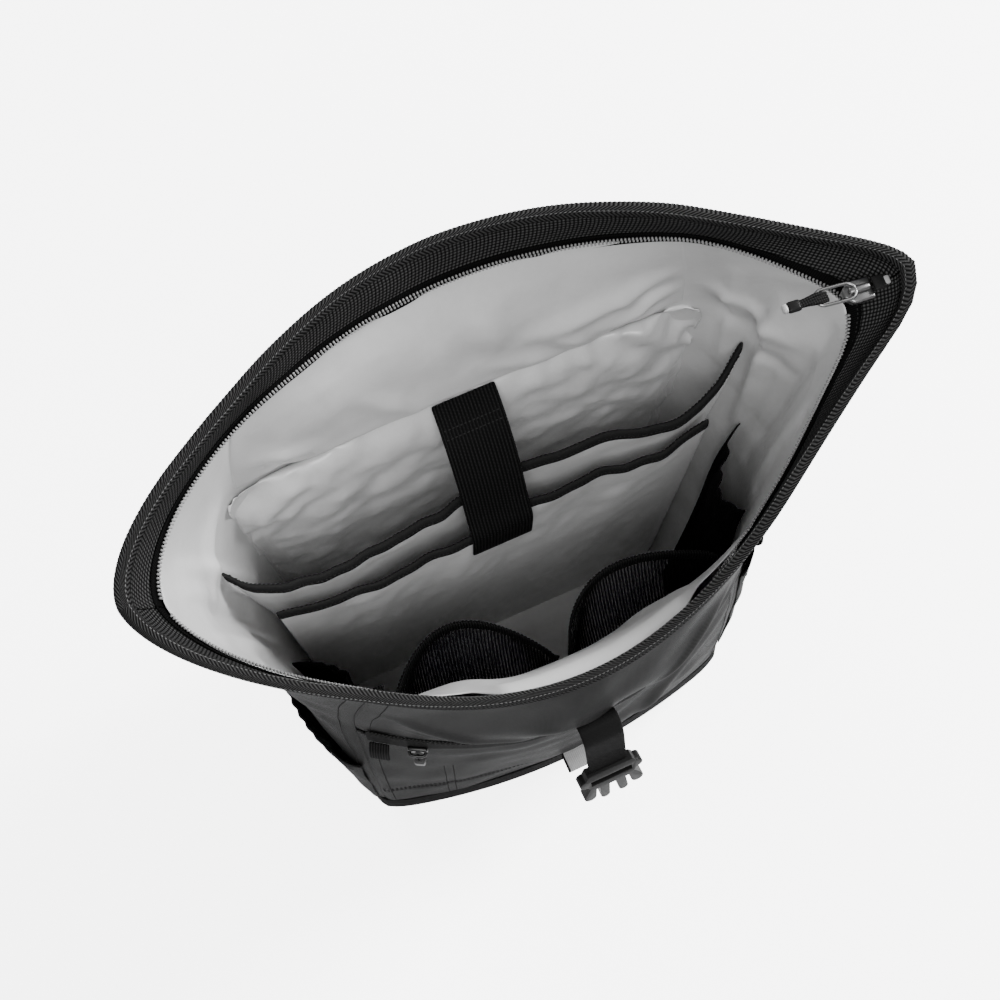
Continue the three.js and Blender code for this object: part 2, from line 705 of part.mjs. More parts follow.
// Mesh organiser pockets on the front lining, with taped mouths that stand open
function buildMeshPocket(name, from, to, bulge, skew) {
  const rows = 4;
  const places = panelPlaces(FRONT, from, to, 10);
  const at = (i, up, inset) => {
    const share = i / (places.length - 1);
    const z = lerp(meshPocketFoot, meshPocketTop, up);
    const level = levelAtHeight(places[i], z);
    const open = bulge * hump(share ** skew) ** 0.8 * lerp(0.1, 1, up ** 0.8);
    const point = liningPoint(places[i], level, linerInset + liningWall + 1.3 + inset);
    point.y += open;
    point.z = z;
    return point;
  };
  add(name, sheet(places.length - 1, rows, (i, j, face) => at(i, j / rows, face * meshWall)), meshCloth());
  add(`${name}_binding`, sheet(places.length - 1, 1, (i, j, face) => {
    const point = at(i, 1, (face - 0.5) * 2.6 + meshWall);
    point.z += 0.4 + j * 8;
    return point;
  }), blackWebbing());
}

// Black stretch pockets on both inner sides
function buildStretchPocket(name, panel, top, from, to) {
  const rows = 4;
  const foot = baseFloor + 8;
  const places = panelPlaces(panel, from, to, 8);
  add(name, sheet(places.length - 1, rows, (i, j, face) => {
    const share = i / (places.length - 1);
    const z = lerp(foot, top, j / rows);
    const point = liningPoint(places[i], levelAtHeight(places[i], z), linerInset + liningWall + 2);
    const open = stretchBulge * hump(share) ** 0.7 * lerp(0.15, 1, j / rows);
    return point.addScaledVector(inwardOf(places[i]), open + face * meshWall);
  }), meshCloth());
}

// Small loop on the inner front wall, left of the organiser
function buildInnerLoop() {
  const place = FRONT + 0.06;
  const z = meshPocketTop + 12;
  const anchor = liningPoint(place, levelAtHeight(place, z), linerInset + liningWall + 1.5);
  const path = [
    vec(anchor.x, anchor.y, z + 10), vec(anchor.x, anchor.y + 7, z + 6), vec(anchor.x, anchor.y + 11, z - 4),
    vec(anchor.x, anchor.y + 9, z - 16), vec(anchor.x, anchor.y + 2, z - 24),
  ];
  add('inner_loop', strapSolid(path, vec(1, 0, 0), 8, 1.4, 8), blackWebbing());
}

// Bottle pockets outside, with an elastic mouth
function buildBottlePocket(name, panel, top, fromFront) {
  const rows = 5;
  const foot = wrapHeight + 2;
  const [from, to] = panel === RIGHT ? [0.02, 0.92] : [0.08, 0.98];
  const places = panelPlaces(panel, from, to, 10);
  const at = (i, up, out) => {
    const share = i / (places.length - 1);
    const frontShare = panel === RIGHT ? share : 1 - share;
    const z = lerp(foot, top, up) + up * fromFront * (frontShare - 0.3);
    const open = bottleBulge * hump(frontShare ** 0.65) ** 0.65 * lerp(0.25, 1, up ** 0.7);
    return { place: places[i], level: z / bodyHeight, inset: -(0.7 + open + out) };
  };
  const pocketPoint = (i, up, out) => {
    const { place, level, inset } = at(i, up, out);
    return wallPoint(place, level, 0, inset);
  };
  add(name, sheet(places.length - 1, rows, (i, j, face) => pocketPoint(i, j / rows, face * pocketWall)),
    coatedCloth());
  add(`${name}_elastic`, sheet(places.length - 1, 1, (i, j, face) => {
    const point = pocketPoint(i, 1, (face - 0.5) * elasticWall + pocketWall / 2);
    point.z += 0.4 + j * elasticHeight;
    return point;
  }), blackWebbing());
}

// Front zip: chain in the slot between pocket and collar, covered by a flap
function buildFrontZip() {
  const places = panelPlaces(FRONT, 0.02, 0.98, 16);
  add('front_zip_chain', sheet(places.length - 1, 1, (i, j, face) => {
    const z = frontZipHeight + (j - 0.5) * frontZipWidth;
    const point = wallPoint(places[i], 1, face ? 1.4 : -0.2);
    point.z = z;
    return point;
  }), zipCoil());
  const rows = [
    { z: frontZipHeight + flapHeight * 0.65, inset: -0.7 },
    { z: frontZipHeight, inset: -1.9 },
    { z: frontZipHeight - flapHeight * 0.35, inset: -2.4 },
  ];
  add('storm_flap', sheet(places.length - 1, rows.length - 1, (i, j, face) => {
    const row = rows[j];
    const level = levelAtHeight(places[i], row.z);
    const point = shellPoint(places[i], level, row.inset - face * flapWall);
    point.z = row.z;
    return point;
  }), coatedCloth());
}

// Outward direction of the wall in plan, for what hangs on it
function outwardAt(place, level) {
  const before = wallPoint(place - 0.02, level);
  const after = wallPoint(place + 0.02, level);
  return vec(after.y - before.y, before.x - after.x, 0).normalize();
}

function cordTube(points, diameter, steps) {
  const curve = new THREE.CatmullRomCurve3(points, false, 'centripetal');
  const round = new THREE.Shape();
  round.absarc(0, 0, diameter / 2, 0, Math.PI * 2, false);
  const way = { steps, extrudePath: curve, curveSegments: 4, bevelEnabled: false };
  return new THREE.ExtrudeGeometry(round, way);
}

function boxAt(width, depth, height, centre, outward) {
  const box = new THREE.BoxGeometry(width, depth, height);
  box.rotateZ(Math.atan2(outward.y, outward.x) + Math.PI / 2);
  box.translate(centre.x, centre.y, centre.z);
  return box;
}

function buildFrontPull() {
  const place = FRONT + frontSliderPlace;
  const out = outwardAt(place, 0.97);
  const base = shellPoint(place, 0.97, 0).addScaledVector(out, 2.9);
  base.z = frontZipHeight - flapHeight * 0.35 - 4.6;
  add('front_zip_slider', boxAt(9, 4, 8, base, out), metalTrim());
  const hang = base.clone().addScaledVector(out, 3.9);
  const low = frontPullLength;
  const path = [hang, hang.clone().addScaledVector(out, 1.2).setZ(hang.z - low * 0.3),
    hang.clone().addScaledVector(out, 0.6).setZ(hang.z - low * 0.6)];
  add('front_zip_pull', cordTube(path, pullCord, 6), blackWebbing());
  const tip = path[2].clone().setZ(path[2].z - 6.4);
  add('front_zip_pull_tip', boxAt(6, 4, 12, tip, out), greyTrim());
}

// Closure strap: comes out above the zip, stands off and drops to its buckle half. The wall's
// flat facets lie facetSag inside its curve there.
const facetSag = 0.75;

function buildClosure() {
  const z = closureHeight;
  const start = shellPoint(FRONT + 0.5, levelAtHeight(FRONT + 0.5, z), 0);
  const y = start.y - closureWall / 2 + facetSag - seatGap;
  const path = [
    vec(0, y, z - 4), vec(0, y - 1.5, z + 3), vec(0, y - 6, z + 6), vec(0, y - 13, z + 1),
    vec(0, y - 18, z - 12), vec(0, y - 21.5, z - 25), vec(0, y - 26, z - 36),
  ];
  add('closure_strap', strapSolid(path, vec(1, 0, 0), closureWidth, closureWall, 14), blackWebbing());
  const end = path[path.length - 1];
  const along = end.clone().sub(path[path.length - 2]).normalize();
  buildBuckle(end.clone().addScaledVector(along, 0.6), along);
}

// Buckle half: a frame with two outer lugs, two inner prongs and a bar that holds the strap
function buildBuckle(start, along) {
  const half = buckleWidth / 2;
  const body = new THREE.Shape();
  body.moveTo(-half + 6, 0);
  body.lineTo(half - 6, 0);
  body.lineTo(half - 4, 3);
  body.absarc(half - 4, 8, 4, -Math.PI / 2, Math.PI / 2, false);
  body.lineTo(half - 6, 15);
  body.absarc(half - 5, buckleLength - 8, 4, -0.6, Math.PI * 0.9, false);
  body.lineTo(half - 10, 18);
  body.lineTo(8.5, 18);
  body.absarc(6, buckleLength - 4, 3, 0, Math.PI, false);
  body.lineTo(2, 18);
  body.lineTo(-2, 18);
  body.absarc(-6, buckleLength - 4, 3, 0, Math.PI, false);
  body.lineTo(-8.5, 18);
  body.lineTo(-half + 10, 18);
  body.absarc(-half + 5, buckleLength - 8, 4, Math.PI * 0.1, Math.PI + 0.6, false);
  body.lineTo(-half + 6, 15);
  body.absarc(-half + 4, 8, 4, Math.PI / 2, Math.PI * 1.5, false);
  body.closePath();
  const slot = new THREE.Path();
  slot.moveTo(-closureWidth / 2 - 0.8, 7);
  slot.lineTo(-closureWidth / 2 - 0.8, 12);
  slot.lineTo(closureWidth / 2 + 0.8, 12);
  slot.lineTo(closureWidth / 2 + 0.8, 7);
  slot.closePath();
  body.holes.push(slot);
  const depth = { depth: buckleThickness, bevelEnabled: false, curveSegments: 4 };
  const geometry = new THREE.ExtrudeGeometry(body, depth);
  geometry.translate(0, 0, -buckleThickness / 2);
  const across = vec(1, 0, 0);
  const basis = new THREE.Matrix4().makeBasis(across, along, across.clone().cross(along));
  geometry.applyMatrix4(basis.setPosition(start));
  add('closure_buckle', geometry, mouldedBlack());
}

// Webbing tab low on the front that the buckle's other half would sit on
function buildKeeper() {
  const place = FRONT + keeperShare;
  const level = keeperHeight / bodyHeight;
  const out = outwardAt(place, level);
  const across = vec(-out.y, out.x, 0);
  const root = shellPoint(place, level, 0).addScaledVector(out, closureWall / 2 + 1.25);
  const at = (reach, dz) => root.clone().addScaledVector(out, reach).setZ(keeperHeight + dz);
  const path = [at(0, 9), at(0.4, 3), at(keeperReach * 0.55, 1.6), at(keeperReach, 0.8)];
  add('keeper_tab', strapSolid(path, across, keeperWidth, closureWall, 6), greyTrim());
}

// Elastic tab beside the front seam, and the folded loop on the right side
function buildTabs() {
  const left = FRONT + 0.055;
  const level = belowZip - 0.03;
  const out = outwardAt(left, level);
  const across = vec(-out.y, out.x, 0);
  const root = shellPoint(left, level, 0).addScaledVector(out, 2.5);
  const path = [root.clone().setZ(root.z - 1), root.clone().setZ(root.z - 13)];
  add('elastic_tab', strapSolid(path, across, 11, 1.2, 2), blackWebbing());
  const loopPlace = RIGHT + 0.17;
  const z = bottlePocketRightTop + sideLoopRise;
  const side = outwardAt(loopPlace, z / bodyHeight);
  const wide = vec(-side.y, side.x, 0);
  const foot = shellPoint(loopPlace, z / bodyHeight, 0).addScaledVector(side, 1.3);
  const at = (reach, dz) => foot.clone().addScaledVector(side, reach).setZ(z + dz);
  const loop = [at(0, 14), at(3, 9), at(7.5, -1), at(7.5, -12), at(3.2, -14)];
  add('side_loop', strapSolid(loop, wide, sideLoopWidth, 1.5, 12), blackWebbing());
}

// Slider of the mouth zip with its ring, cord end and the chain's end tab
function buildMouthSlider() {
  const centre = vec(mouthSliderX, mouthSliderY, rimHeight(RIGHT + 0.5) - mouthSliderDrop);
  const along = vec(-1, 0.12, 0).normalize();
  const across = vec(0.12, 1, 0).normalize();
  const up = vec(0, 0, 1);
  const place = (geometry, x, y, z, tilt = 0) => {
    const turn = new THREE.Matrix4().makeBasis(along, across.clone().negate(), up);
    geometry.rotateY(tilt);
    geometry.translate(x, y, z);
    geometry.applyMatrix4(turn.setPosition(centre));
    return geometry;
  };
  const body = new THREE.Shape();
  body.moveTo(-7, -5.5);
  body.lineTo(3, -6);
  body.lineTo(8, -3);
  body.lineTo(8, 3);
  body.lineTo(3, 6);
  body.lineTo(-7, 5.5);
  body.closePath();
  const plate = new THREE.ExtrudeGeometry(body, { depth: 5, bevelEnabled: false });
  add('mouth_zip_slider', place(plate, 0, 0, -2.5), metalTrim());
  const oval = new THREE.Shape();
  const ringHalf = 4.5;
  oval.absarc(11, 0, ringHalf, -Math.PI / 2, Math.PI / 2, false);
  oval.absarc(-4, 0, ringHalf, Math.PI / 2, Math.PI * 1.5, false);
  oval.closePath();
  const hole = new THREE.Path();
  hole.absarc(11, 0, ringHalf - 1.4, -Math.PI / 2, Math.PI / 2, false);
  hole.absarc(-4, 0, ringHalf - 1.4, Math.PI / 2, Math.PI * 1.5, false);
  hole.closePath();
  oval.holes.push(hole);
  const ring = new THREE.ExtrudeGeometry(oval, { depth: 1.8, bevelEnabled: false, curveSegments: 5 });
  add('mouth_zip_ring', place(ring, 9, 0, 3.1), metalTrim());
  const cord = new THREE.BoxGeometry(13, 4.4, 3);
  add('mouth_zip_cord', place(cord, 31.4, 0.4, 3.6), blackWebbing());
  const tab = new THREE.BoxGeometry(6, 7, 2);
  add('mouth_zip_tab', place(tab, -9.4, 0, 3.9), blackWebbing());
}

// Back: padded panel, shoulder straps with webbing and adjusters, haul loop
function buildBackPad() {
  const half = backPadWidth / 2;
  const reach = bodyWidth / 2 * sectionAt(1).backX;
  const share = half / reach;
  const places = panelPlaces(BACK, 0.5 - share / 2, 0.5 + share / 2, 12);
  const rows = 8;
  add('back_pad', sheet(places.length - 1, rows, (i, j, face) => {
    const across = i / (places.length - 1);
    const z = lerp(backPadFoot, backPadTop, j / rows);
    const channel = Math.exp(-(((across - 0.5) / 0.09) ** 2));
    const crown = hump(across) ** 0.3 * hump(0.06 + 0.88 * j / rows) ** 0.3;
    const thick = lerp(2.5, backPadThickness, Math.max(0, crown * (1 - 0.7 * channel)));
    return wallPoint(places[i], levelAtHeight(places[i], z), 0, -(0.6 + face * thick));
  }), meshCloth());
}

// The back wall's outermost y under a piece that is width by height, centred on x and z
function backFace(x, z, width, height) {
  let face = 0;
  for (const across of [-0.5, 0, 0.5]) {
    for (const up of [-0.5, 0, 0.5]) {
      const level = levelAtHeight(BACK + 0.5, z + up * height);
      const half = sectionAt(level).backX * bodyWidth / 2;
      const place = BACK + 0.5 - (x + across * width) / half / 2;
      face = Math.max(face, wallPoint(place, level).y);
    }
  }
  return face;
}

// Way of each shoulder strap past its root: across as a share of shoulderSpread, out from the
// padded back and up from the strap's top.
const SHOULDER_ROWS = [
  { across: 0.88, out: 0, up: 8 },
  { across: 0.95, out: 12, up: -22 },
  { across: 1.00, out: 13, up: -80 },
  { across: 1.15, out: 8, up: -140 },
  { across: 1.38, out: 6, up: -198 },
  { across: 1.52, out: 5, up: -244 },
];
const shoulderRootShare = 0.8;

function buildShoulderStrap(side, word) {
  const x = side * shoulderSpread;
  const top = backPadTop + 12;
  const root = x * shoulderRootShare;
  const seat = backFace(root, top, shoulderWidth, 12) + shoulderThickness / 2 + seatGap;
  const y = backDepth + backPadThickness + 12;
  const path = [
    vec(root, seat, top - 4), vec(root + x * 0.02, seat + 0.5, top + 3),
    ...SHOULDER_ROWS.map((row) => vec(x * row.across, y + row.out, top + row.up)),
  ];
  add(`shoulder_strap_${word}`, strapSolid(path, vec(1, 0, 0), shoulderWidth, shoulderThickness, 18),
    meshCloth());
  const end = path[path.length - 1];
  const adjuster = new THREE.BoxGeometry(adjusterWidth, adjusterThickness, adjusterHeight);
  adjuster.translate(end.x, end.y, end.z - adjusterHeight / 2 - 2 * seatGap);
  add(`strap_adjuster_${word}`, adjuster, mouldedBlack());
  const from = end.z - adjusterHeight - 3 * seatGap;
  const footX = side * (bodyWidth / 2 - webbingWidth / 2 - webbingInset);
  const footZ = wrapHeight - webbingFootDrop;
  const foot = backFace(footX, footZ, webbingWidth, 16) + webbingWall / 2 + seatGap;
  const tail = [
    vec(end.x, end.y, from), vec(lerp(end.x, footX, 0.4), end.y - 5, from - 32),
    vec(lerp(end.x, footX, 0.85), foot + 3, footZ + 24),
    vec(footX, foot, footZ + 6), vec(footX, foot, footZ - 8),
  ];
  const webbing = strapSolid(tail, vec(1, 0, 0), webbingWidth, webbingWall, 12);
  add(`strap_webbing_${word}`, webbing, blackWebbing());
}

// Haul loop: a band on edge between the shoulder straps, arched over the seam
function buildHaulLoop() {
  const half = shoulderSpread * 0.8 - shoulderWidth / 2 - haulThickness;
  const foot = backPadTop + 6;
  const wall = backFace(0, foot + haulRise / 2, 2 * half, haulRise + 2 * haulThickness);
  const y = wall + haulWidth / 2 + seatGap;
  const path = [];
  for (let turn = 0; turn <= 8; turn += 1) {
    const angle = Math.PI * turn / 8;
    path.push(vec(-half * Math.cos(angle), y, foot + haulRise - half + half * Math.sin(angle)));
  }
  path.unshift(vec(-half, y, foot));
  path.push(vec(half, y, foot));
  add('haul_loop', strapSolid(path, vec(0, 1, 0), haulWidth, haulThickness, 20), blackWebbing());
}

buildBaseTub();
buildShell();
buildBinding();
buildBands();
buildMouthChains();
buildMouthSlider();
buildLining();
buildLiningFloor();
buildSleevePad();
buildDividers();
buildSleeveStrap();
buildMeshPocket('mesh_pocket_left', 0.09, 0.48, meshBulgeLeft, 1);
buildMeshPocket('mesh_pocket_right', 0.52, 0.94, meshBulgeRight, 0.75);
buildStretchPocket('stretch_pocket_right', RIGHT, stretchPocketRightTop, 0.1, 0.54);
buildStretchPocket('stretch_pocket_left', LEFT, stretchPocketLeftTop, 0.57, 0.9);
buildInnerLoop();
buildBottlePocket('bottle_pocket_left', LEFT, bottlePocketLeftTop, 14);
buildBottlePocket('bottle_pocket_right', RIGHT, bottlePocketRightTop, 6);
buildFrontZip();
buildFrontPull();
buildClosure();
buildKeeper();
buildTabs();
buildBackPad();
buildShoulderStrap(-1, 'left');
buildShoulderStrap(1, 'right');
buildHaulLoop();

export default pack;
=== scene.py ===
"""Rolltop backpack standing open: the visible pieces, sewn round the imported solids.

Sizes are in millimetres until a piece is made; the pieces themselves are in metres.
"""

import logging
import math
from dataclasses import dataclass, field
from enum import Enum, IntEnum
from typing import Callable, Optional, Sequence

import bmesh
import bpy
import numpy as np
from mathutils import Matrix, Vector


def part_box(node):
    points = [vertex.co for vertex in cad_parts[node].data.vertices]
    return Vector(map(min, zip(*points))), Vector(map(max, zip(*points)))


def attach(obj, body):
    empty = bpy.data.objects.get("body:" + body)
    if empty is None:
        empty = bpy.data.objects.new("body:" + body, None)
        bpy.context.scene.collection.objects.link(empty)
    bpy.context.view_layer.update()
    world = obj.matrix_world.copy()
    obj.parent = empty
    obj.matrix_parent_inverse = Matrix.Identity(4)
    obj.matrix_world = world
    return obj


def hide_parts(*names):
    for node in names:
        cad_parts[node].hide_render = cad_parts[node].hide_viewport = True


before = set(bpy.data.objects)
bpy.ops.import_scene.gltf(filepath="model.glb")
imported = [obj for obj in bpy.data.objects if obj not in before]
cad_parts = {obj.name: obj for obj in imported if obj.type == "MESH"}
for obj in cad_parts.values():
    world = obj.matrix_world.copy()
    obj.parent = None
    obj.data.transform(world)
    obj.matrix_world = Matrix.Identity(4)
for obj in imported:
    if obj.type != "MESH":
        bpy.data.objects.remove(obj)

Array = np.ndarray
Surface = Callable[[Array, Array], Array]
MM = 0.001
LOG = logging.getLogger("rolltop_backpack")


class Panel(IntEnum):
    """The four sides of the bag in the order they follow round its wall."""

    FRONT = 0
    RIGHT = 1
    BACK = 2
    LEFT = 3


class Weave(Enum):
    """How a finish is woven, knitted or moulded."""

    TWILL = "fine diagonal ribs"
    BASKET = "coarse basket weave"
    CHEVRON = "herringbone tape"
    RIBBED = "ribbed webbing"
    SATIN = "smooth satin"
    FELT = "brushed felt"
    MESH = "open mesh"
    STRETCH = "knitted stretch cloth"
    MOULDED = "fine moulded grain"
    METAL = "blasted metal"


# The wall of the bag

SECTION_COLUMNS = (
    "level", "front_x", "front_y", "front_mid", "back_x", "back_y", "back_mid",
    "flare", "left_front", "left_back", "right_front", "right_back",
)
SECTION_ROWS = (
    (0.00, 0.950, 0.93, 0.88, 0.950, 0.91, 0.66, -0.05, 2.0, 2.0, 2.0, 2.0),
    (0.04, 0.990, 1.00, 0.94, 0.985, 0.96, 0.70, 0.00, 2.0, 2.0, 2.0, 2.0),
    (0.25, 0.990, 0.99, 0.95, 0.985, 0.98, 0.71, 0.07, 2.0, 2.0, 2.0, 2.0),
    (0.60, 0.970, 0.89, 0.97, 0.980, 0.99, 0.71, 0.19, 2.0, 2.0, 2.0, 2.0),
    (1.00, 0.925, 0.70, 1.00, 0.985, 1.00, 0.73, 0.37, 1.9, 2.0, 1.9, 2.0),
    (1.33, 0.890, 0.72, 1.06, 0.995, 0.98, 0.73, 0.58, 1.7, 2.0, 1.5, 1.85),
    (1.66, 0.830, 0.80, 1.04, 0.965, 0.97, 0.79, 0.80, 1.5, 1.95, 1.15, 1.5),
    (2.00, 0.775, 0.92, 0.97, 0.840, 0.95, 0.97, 1.00, 1.60, 1.9, 0.88, 1.1),
)
SLACK_ROWS = ((0.0, 0.00), (0.5, 0.30), (1.0, 0.85), (1.4, 1.00), (1.7, 0.62), (2.0, 0.00))


def lerp(low: Array, high: Array, share: Array) -> Array:
    """Goes from low to high by a share."""
    return low + (high - low) * share


def clamp(share: Array) -> Array:
    """Keeps shares between 0 and 1."""
    return np.clip(share, 0, 1)


def hump(share: Array) -> Array:
    """Rises from 0 to 1 and back to 0 as a share goes from 0 to 1."""
    return np.sin(np.pi * clamp(share))


def smooth_column(keys: Array, values: Array, at: Array) -> Array:
    """Reads one column of a table on a smooth curve through its rows.

    Args:
        keys: The rising keys of the rows.
        values: The column's values.
        at: Where to read it.

    Returns:
        The values on the curve.
    """
    last = len(keys) - 1
    span = np.clip(np.searchsorted(keys, at, side="right"), 1, last)
    low, high = keys[span - 1], keys[span]
    first, final = span < 2, span >= last
    before = np.where(first, high, keys[np.maximum(span - 2, 0)])
    after = np.where(final, low, keys[np.minimum(span + 1, last)])
    value_before = np.where(first, values[span], values[np.maximum(span - 2, 0)])
    value_after = np.where(final, values[span - 1], values[np.minimum(span + 1, last)])
    ease_in = (high - low) / 2 / (low - before)
    ease_out = (high - low) / 2 / (after - high)
    p = (at - low) / (high - low)
    return (
        (-ease_in * p**3 + 2 * ease_in * p**2 - ease_in * p) * value_before
        + ((1 + ease_in) * p**3 - (1.5 + 2 * ease_in) * p**2 + (ease_in - 0.5) * p + 1) * values[span - 1]
        + (-(1 + ease_out) * p**3 + (1.5 + ease_out) * p**2 + 0.5 * p) * values[span]
        + (ease_out * p**3 - ease_out * p**2) * value_after
    )


def split_place(place: Array) -> tuple[Array, Array]:
    """Which panel each place lies on, and its share along that panel."""
    return np.floor(place).astype(int) % 4, place - np.floor(place)


@dataclass(frozen=True)
class Fold:
    """A soft dent or swelling of one panel, by its place on it."""

    panel: Panel
    along: float
    level: float
    wide: float
    tall: float
    out: float


@dataclass(frozen=True)
class Crease:
    """A long narrow ridge or groove, from one spot of a panel to another.

    A spot is the share along the panel and the level; width and height are in millimetres,
    and a height below zero is a groove.
    """

    panel: Panel
    start: tuple[float, float]
    end: tuple[float, float]
    width: float
    height: float


SHELL_FOLDS = (
    Fold(Panel.FRONT, 0.30, 1.50, 0.22, 0.16, 5.1),
    Fold(Panel.FRONT, 0.78, 1.42, 0.16, 0.18, 4.4),
    Fold(Panel.FRONT, 0.62, 1.22, 0.20, 0.10, -2.4),
    Fold(Panel.FRONT, 0.55, 0.55, 0.30, 0.18, 3.4),
    Fold(Panel.LEFT, 0.70, 1.40, 0.14, 0.22, -5.1),
    Fold(Panel.RIGHT, 0.30, 1.45, 0.14, 0.22, -4.4),
)
LINING_FOLDS = (
    Fold(Panel.BACK, 0.18, 1.62, 0.14, 0.12, 6.8),
    Fold(Panel.BACK, 0.46, 1.72, 0.18, 0.10, 3.7),
    Fold(Panel.BACK, 0.80, 1.66, 0.12, 0.14, 5.6),
    Fold(Panel.LEFT, 0.45, 1.66, 0.10, 0.14, 8.7),
    Fold(Panel.RIGHT, 0.60, 1.62, 0.10, 0.16, 7.4),
    Fold(Panel.FRONT, 0.22, 1.60, 0.12, 0.14, 5.0),
)
SHELL_CREASES = (
    Crease(Panel.FRONT, (0.02, 1.62), (0.40, 1.22), 7, 3.4),
    Crease(Panel.FRONT, (0.10, 1.30), (0.46, 1.12), 5, 2.6),
    Crease(Panel.FRONT, (0.38, 1.50), (0.62, 1.16), 8, 3.0),
    Crease(Panel.FRONT, (0.60, 1.20), (0.86, 1.62), 7, 3.6),
    Crease(Panel.FRONT, (0.74, 1.12), (0.97, 1.48), 6, 3.2),
    Crease(Panel.FRONT, (0.12, 0.86), (0.52, 0.80), 7, 1.6),
    Crease(Panel.FRONT, (0.20, 0.70), (0.70, 0.74), 8, 1.4),
    Crease(Panel.FRONT, (0.55, 0.90), (0.93, 0.84), 7, 1.8),
    Crease(Panel.FRONT, (0.50, 0.66), (0.92, 0.42), 9, 3.0),
    Crease(Panel.FRONT, (0.60, 0.45), (0.95, 0.76), 8, 2.8),
    Crease(Panel.FRONT, (0.40, 0.44), (0.76, 0.32), 9, 2.2),
    Crease(Panel.FRONT, (0.00, 0.39), (0.40, 0.40), 3, -1.5),
    Crease(Panel.FRONT, (0.19, 0.22), (0.18, 0.68), 3, -1.3),
    Crease(Panel.LEFT, (0.60, 1.70), (0.86, 1.05), 7, -3.2),
    Crease(Panel.LEFT, (0.30, 1.60), (0.62, 1.10), 8, 2.6),
    Crease(Panel.LEFT, (0.75, 1.30), (0.96, 0.86), 6, 2.4),
    Crease(Panel.RIGHT, (0.10, 1.60), (0.40, 1.02), 7, 3.2),
    Crease(Panel.RIGHT, (0.06, 1.25), (0.30, 0.86), 6, -2.6),
    Crease(Panel.RIGHT, (0.45, 1.70), (0.62, 1.12), 8, 2.8),
    Crease(Panel.BACK, (0.10, 1.60), (0.34, 1.36), 9, 1.6),
    Crease(Panel.BACK, (0.66, 1.44), (0.92, 1.66), 9, 1.6),
)
LINING_CREASES = (
    Crease(Panel.BACK, (0.04, 1.50), (0.30, 1.62), 8, 3.2),
    Crease(Panel.BACK, (0.02, 1.58), (0.20, 1.50), 6, -2.8),
    Crease(Panel.BACK, (0.10, 1.55), (0.16, 1.70), 6, 2.2),
    Crease(Panel.BACK, (0.40, 1.62), (0.44, 1.80), 8, 2.2),
    Crease(Panel.BACK, (0.46, 1.60), (0.50, 1.74), 9, -2.2),
    Crease(Panel.BACK, (0.60, 1.53), (0.70, 1.66), 6, 2.6),
    Crease(Panel.BACK, (0.22, 1.53), (0.30, 1.60), 5, 3.0),
    Crease(Panel.BACK, (0.30, 1.52), (0.44, 1.58), 5, 2.4),
    Crease(Panel.BACK, (0.00, 1.70), (0.34, 1.63), 6, 5.0),
    Crease(Panel.BACK, (0.00, 1.61), (0.15, 1.555), 5, 4.5),
    Crease(Panel.BACK, (0.00, 1.65), (0.12, 1.60), 5, -3.5),
    Crease(Panel.RIGHT, (0.55, 1.66), (0.97, 1.62), 6, 5.0),
    Crease(Panel.RIGHT, (0.50, 1.52), (0.94, 1.54), 7, -5.0),
    Crease(Panel.LEFT, (0.04, 1.62), (0.40, 1.50), 7, 4.0),
    Crease(Panel.BACK, (0.82, 1.56), (0.99, 1.66), 7, 4.0),
    Crease(Panel.BACK, (0.88, 1.52), (0.94, 1.64), 5, -2.4),
    Crease(Panel.LEFT, (0.20, 1.10), (0.36, 1.80), 6, 4.2),
    Crease(Panel.LEFT, (0.42, 1.20), (0.50, 1.82), 6, -4.0),
    Crease(Panel.LEFT, (0.55, 1.10), (0.62, 1.80), 7, 5.0),
    Crease(Panel.LEFT, (0.72, 1.20), (0.80, 1.74), 6, -3.0),
    Crease(Panel.RIGHT, (0.22, 1.10), (0.30, 1.78), 8, 6.4),
    Crease(Panel.RIGHT, (0.40, 1.05), (0.46, 1.80), 7, -5.4),
    Crease(Panel.RIGHT, (0.58, 1.10), (0.66, 1.76), 7, 6.6),
    Crease(Panel.RIGHT, (0.80, 1.30), (0.86, 1.76), 6, 4.6),
    Crease(Panel.FRONT, (0.08, 1.30), (0.28, 1.72), 10, 3.0),
    Crease(Panel.FRONT, (0.64, 1.30), (0.80, 1.70), 10, 2.6),
)


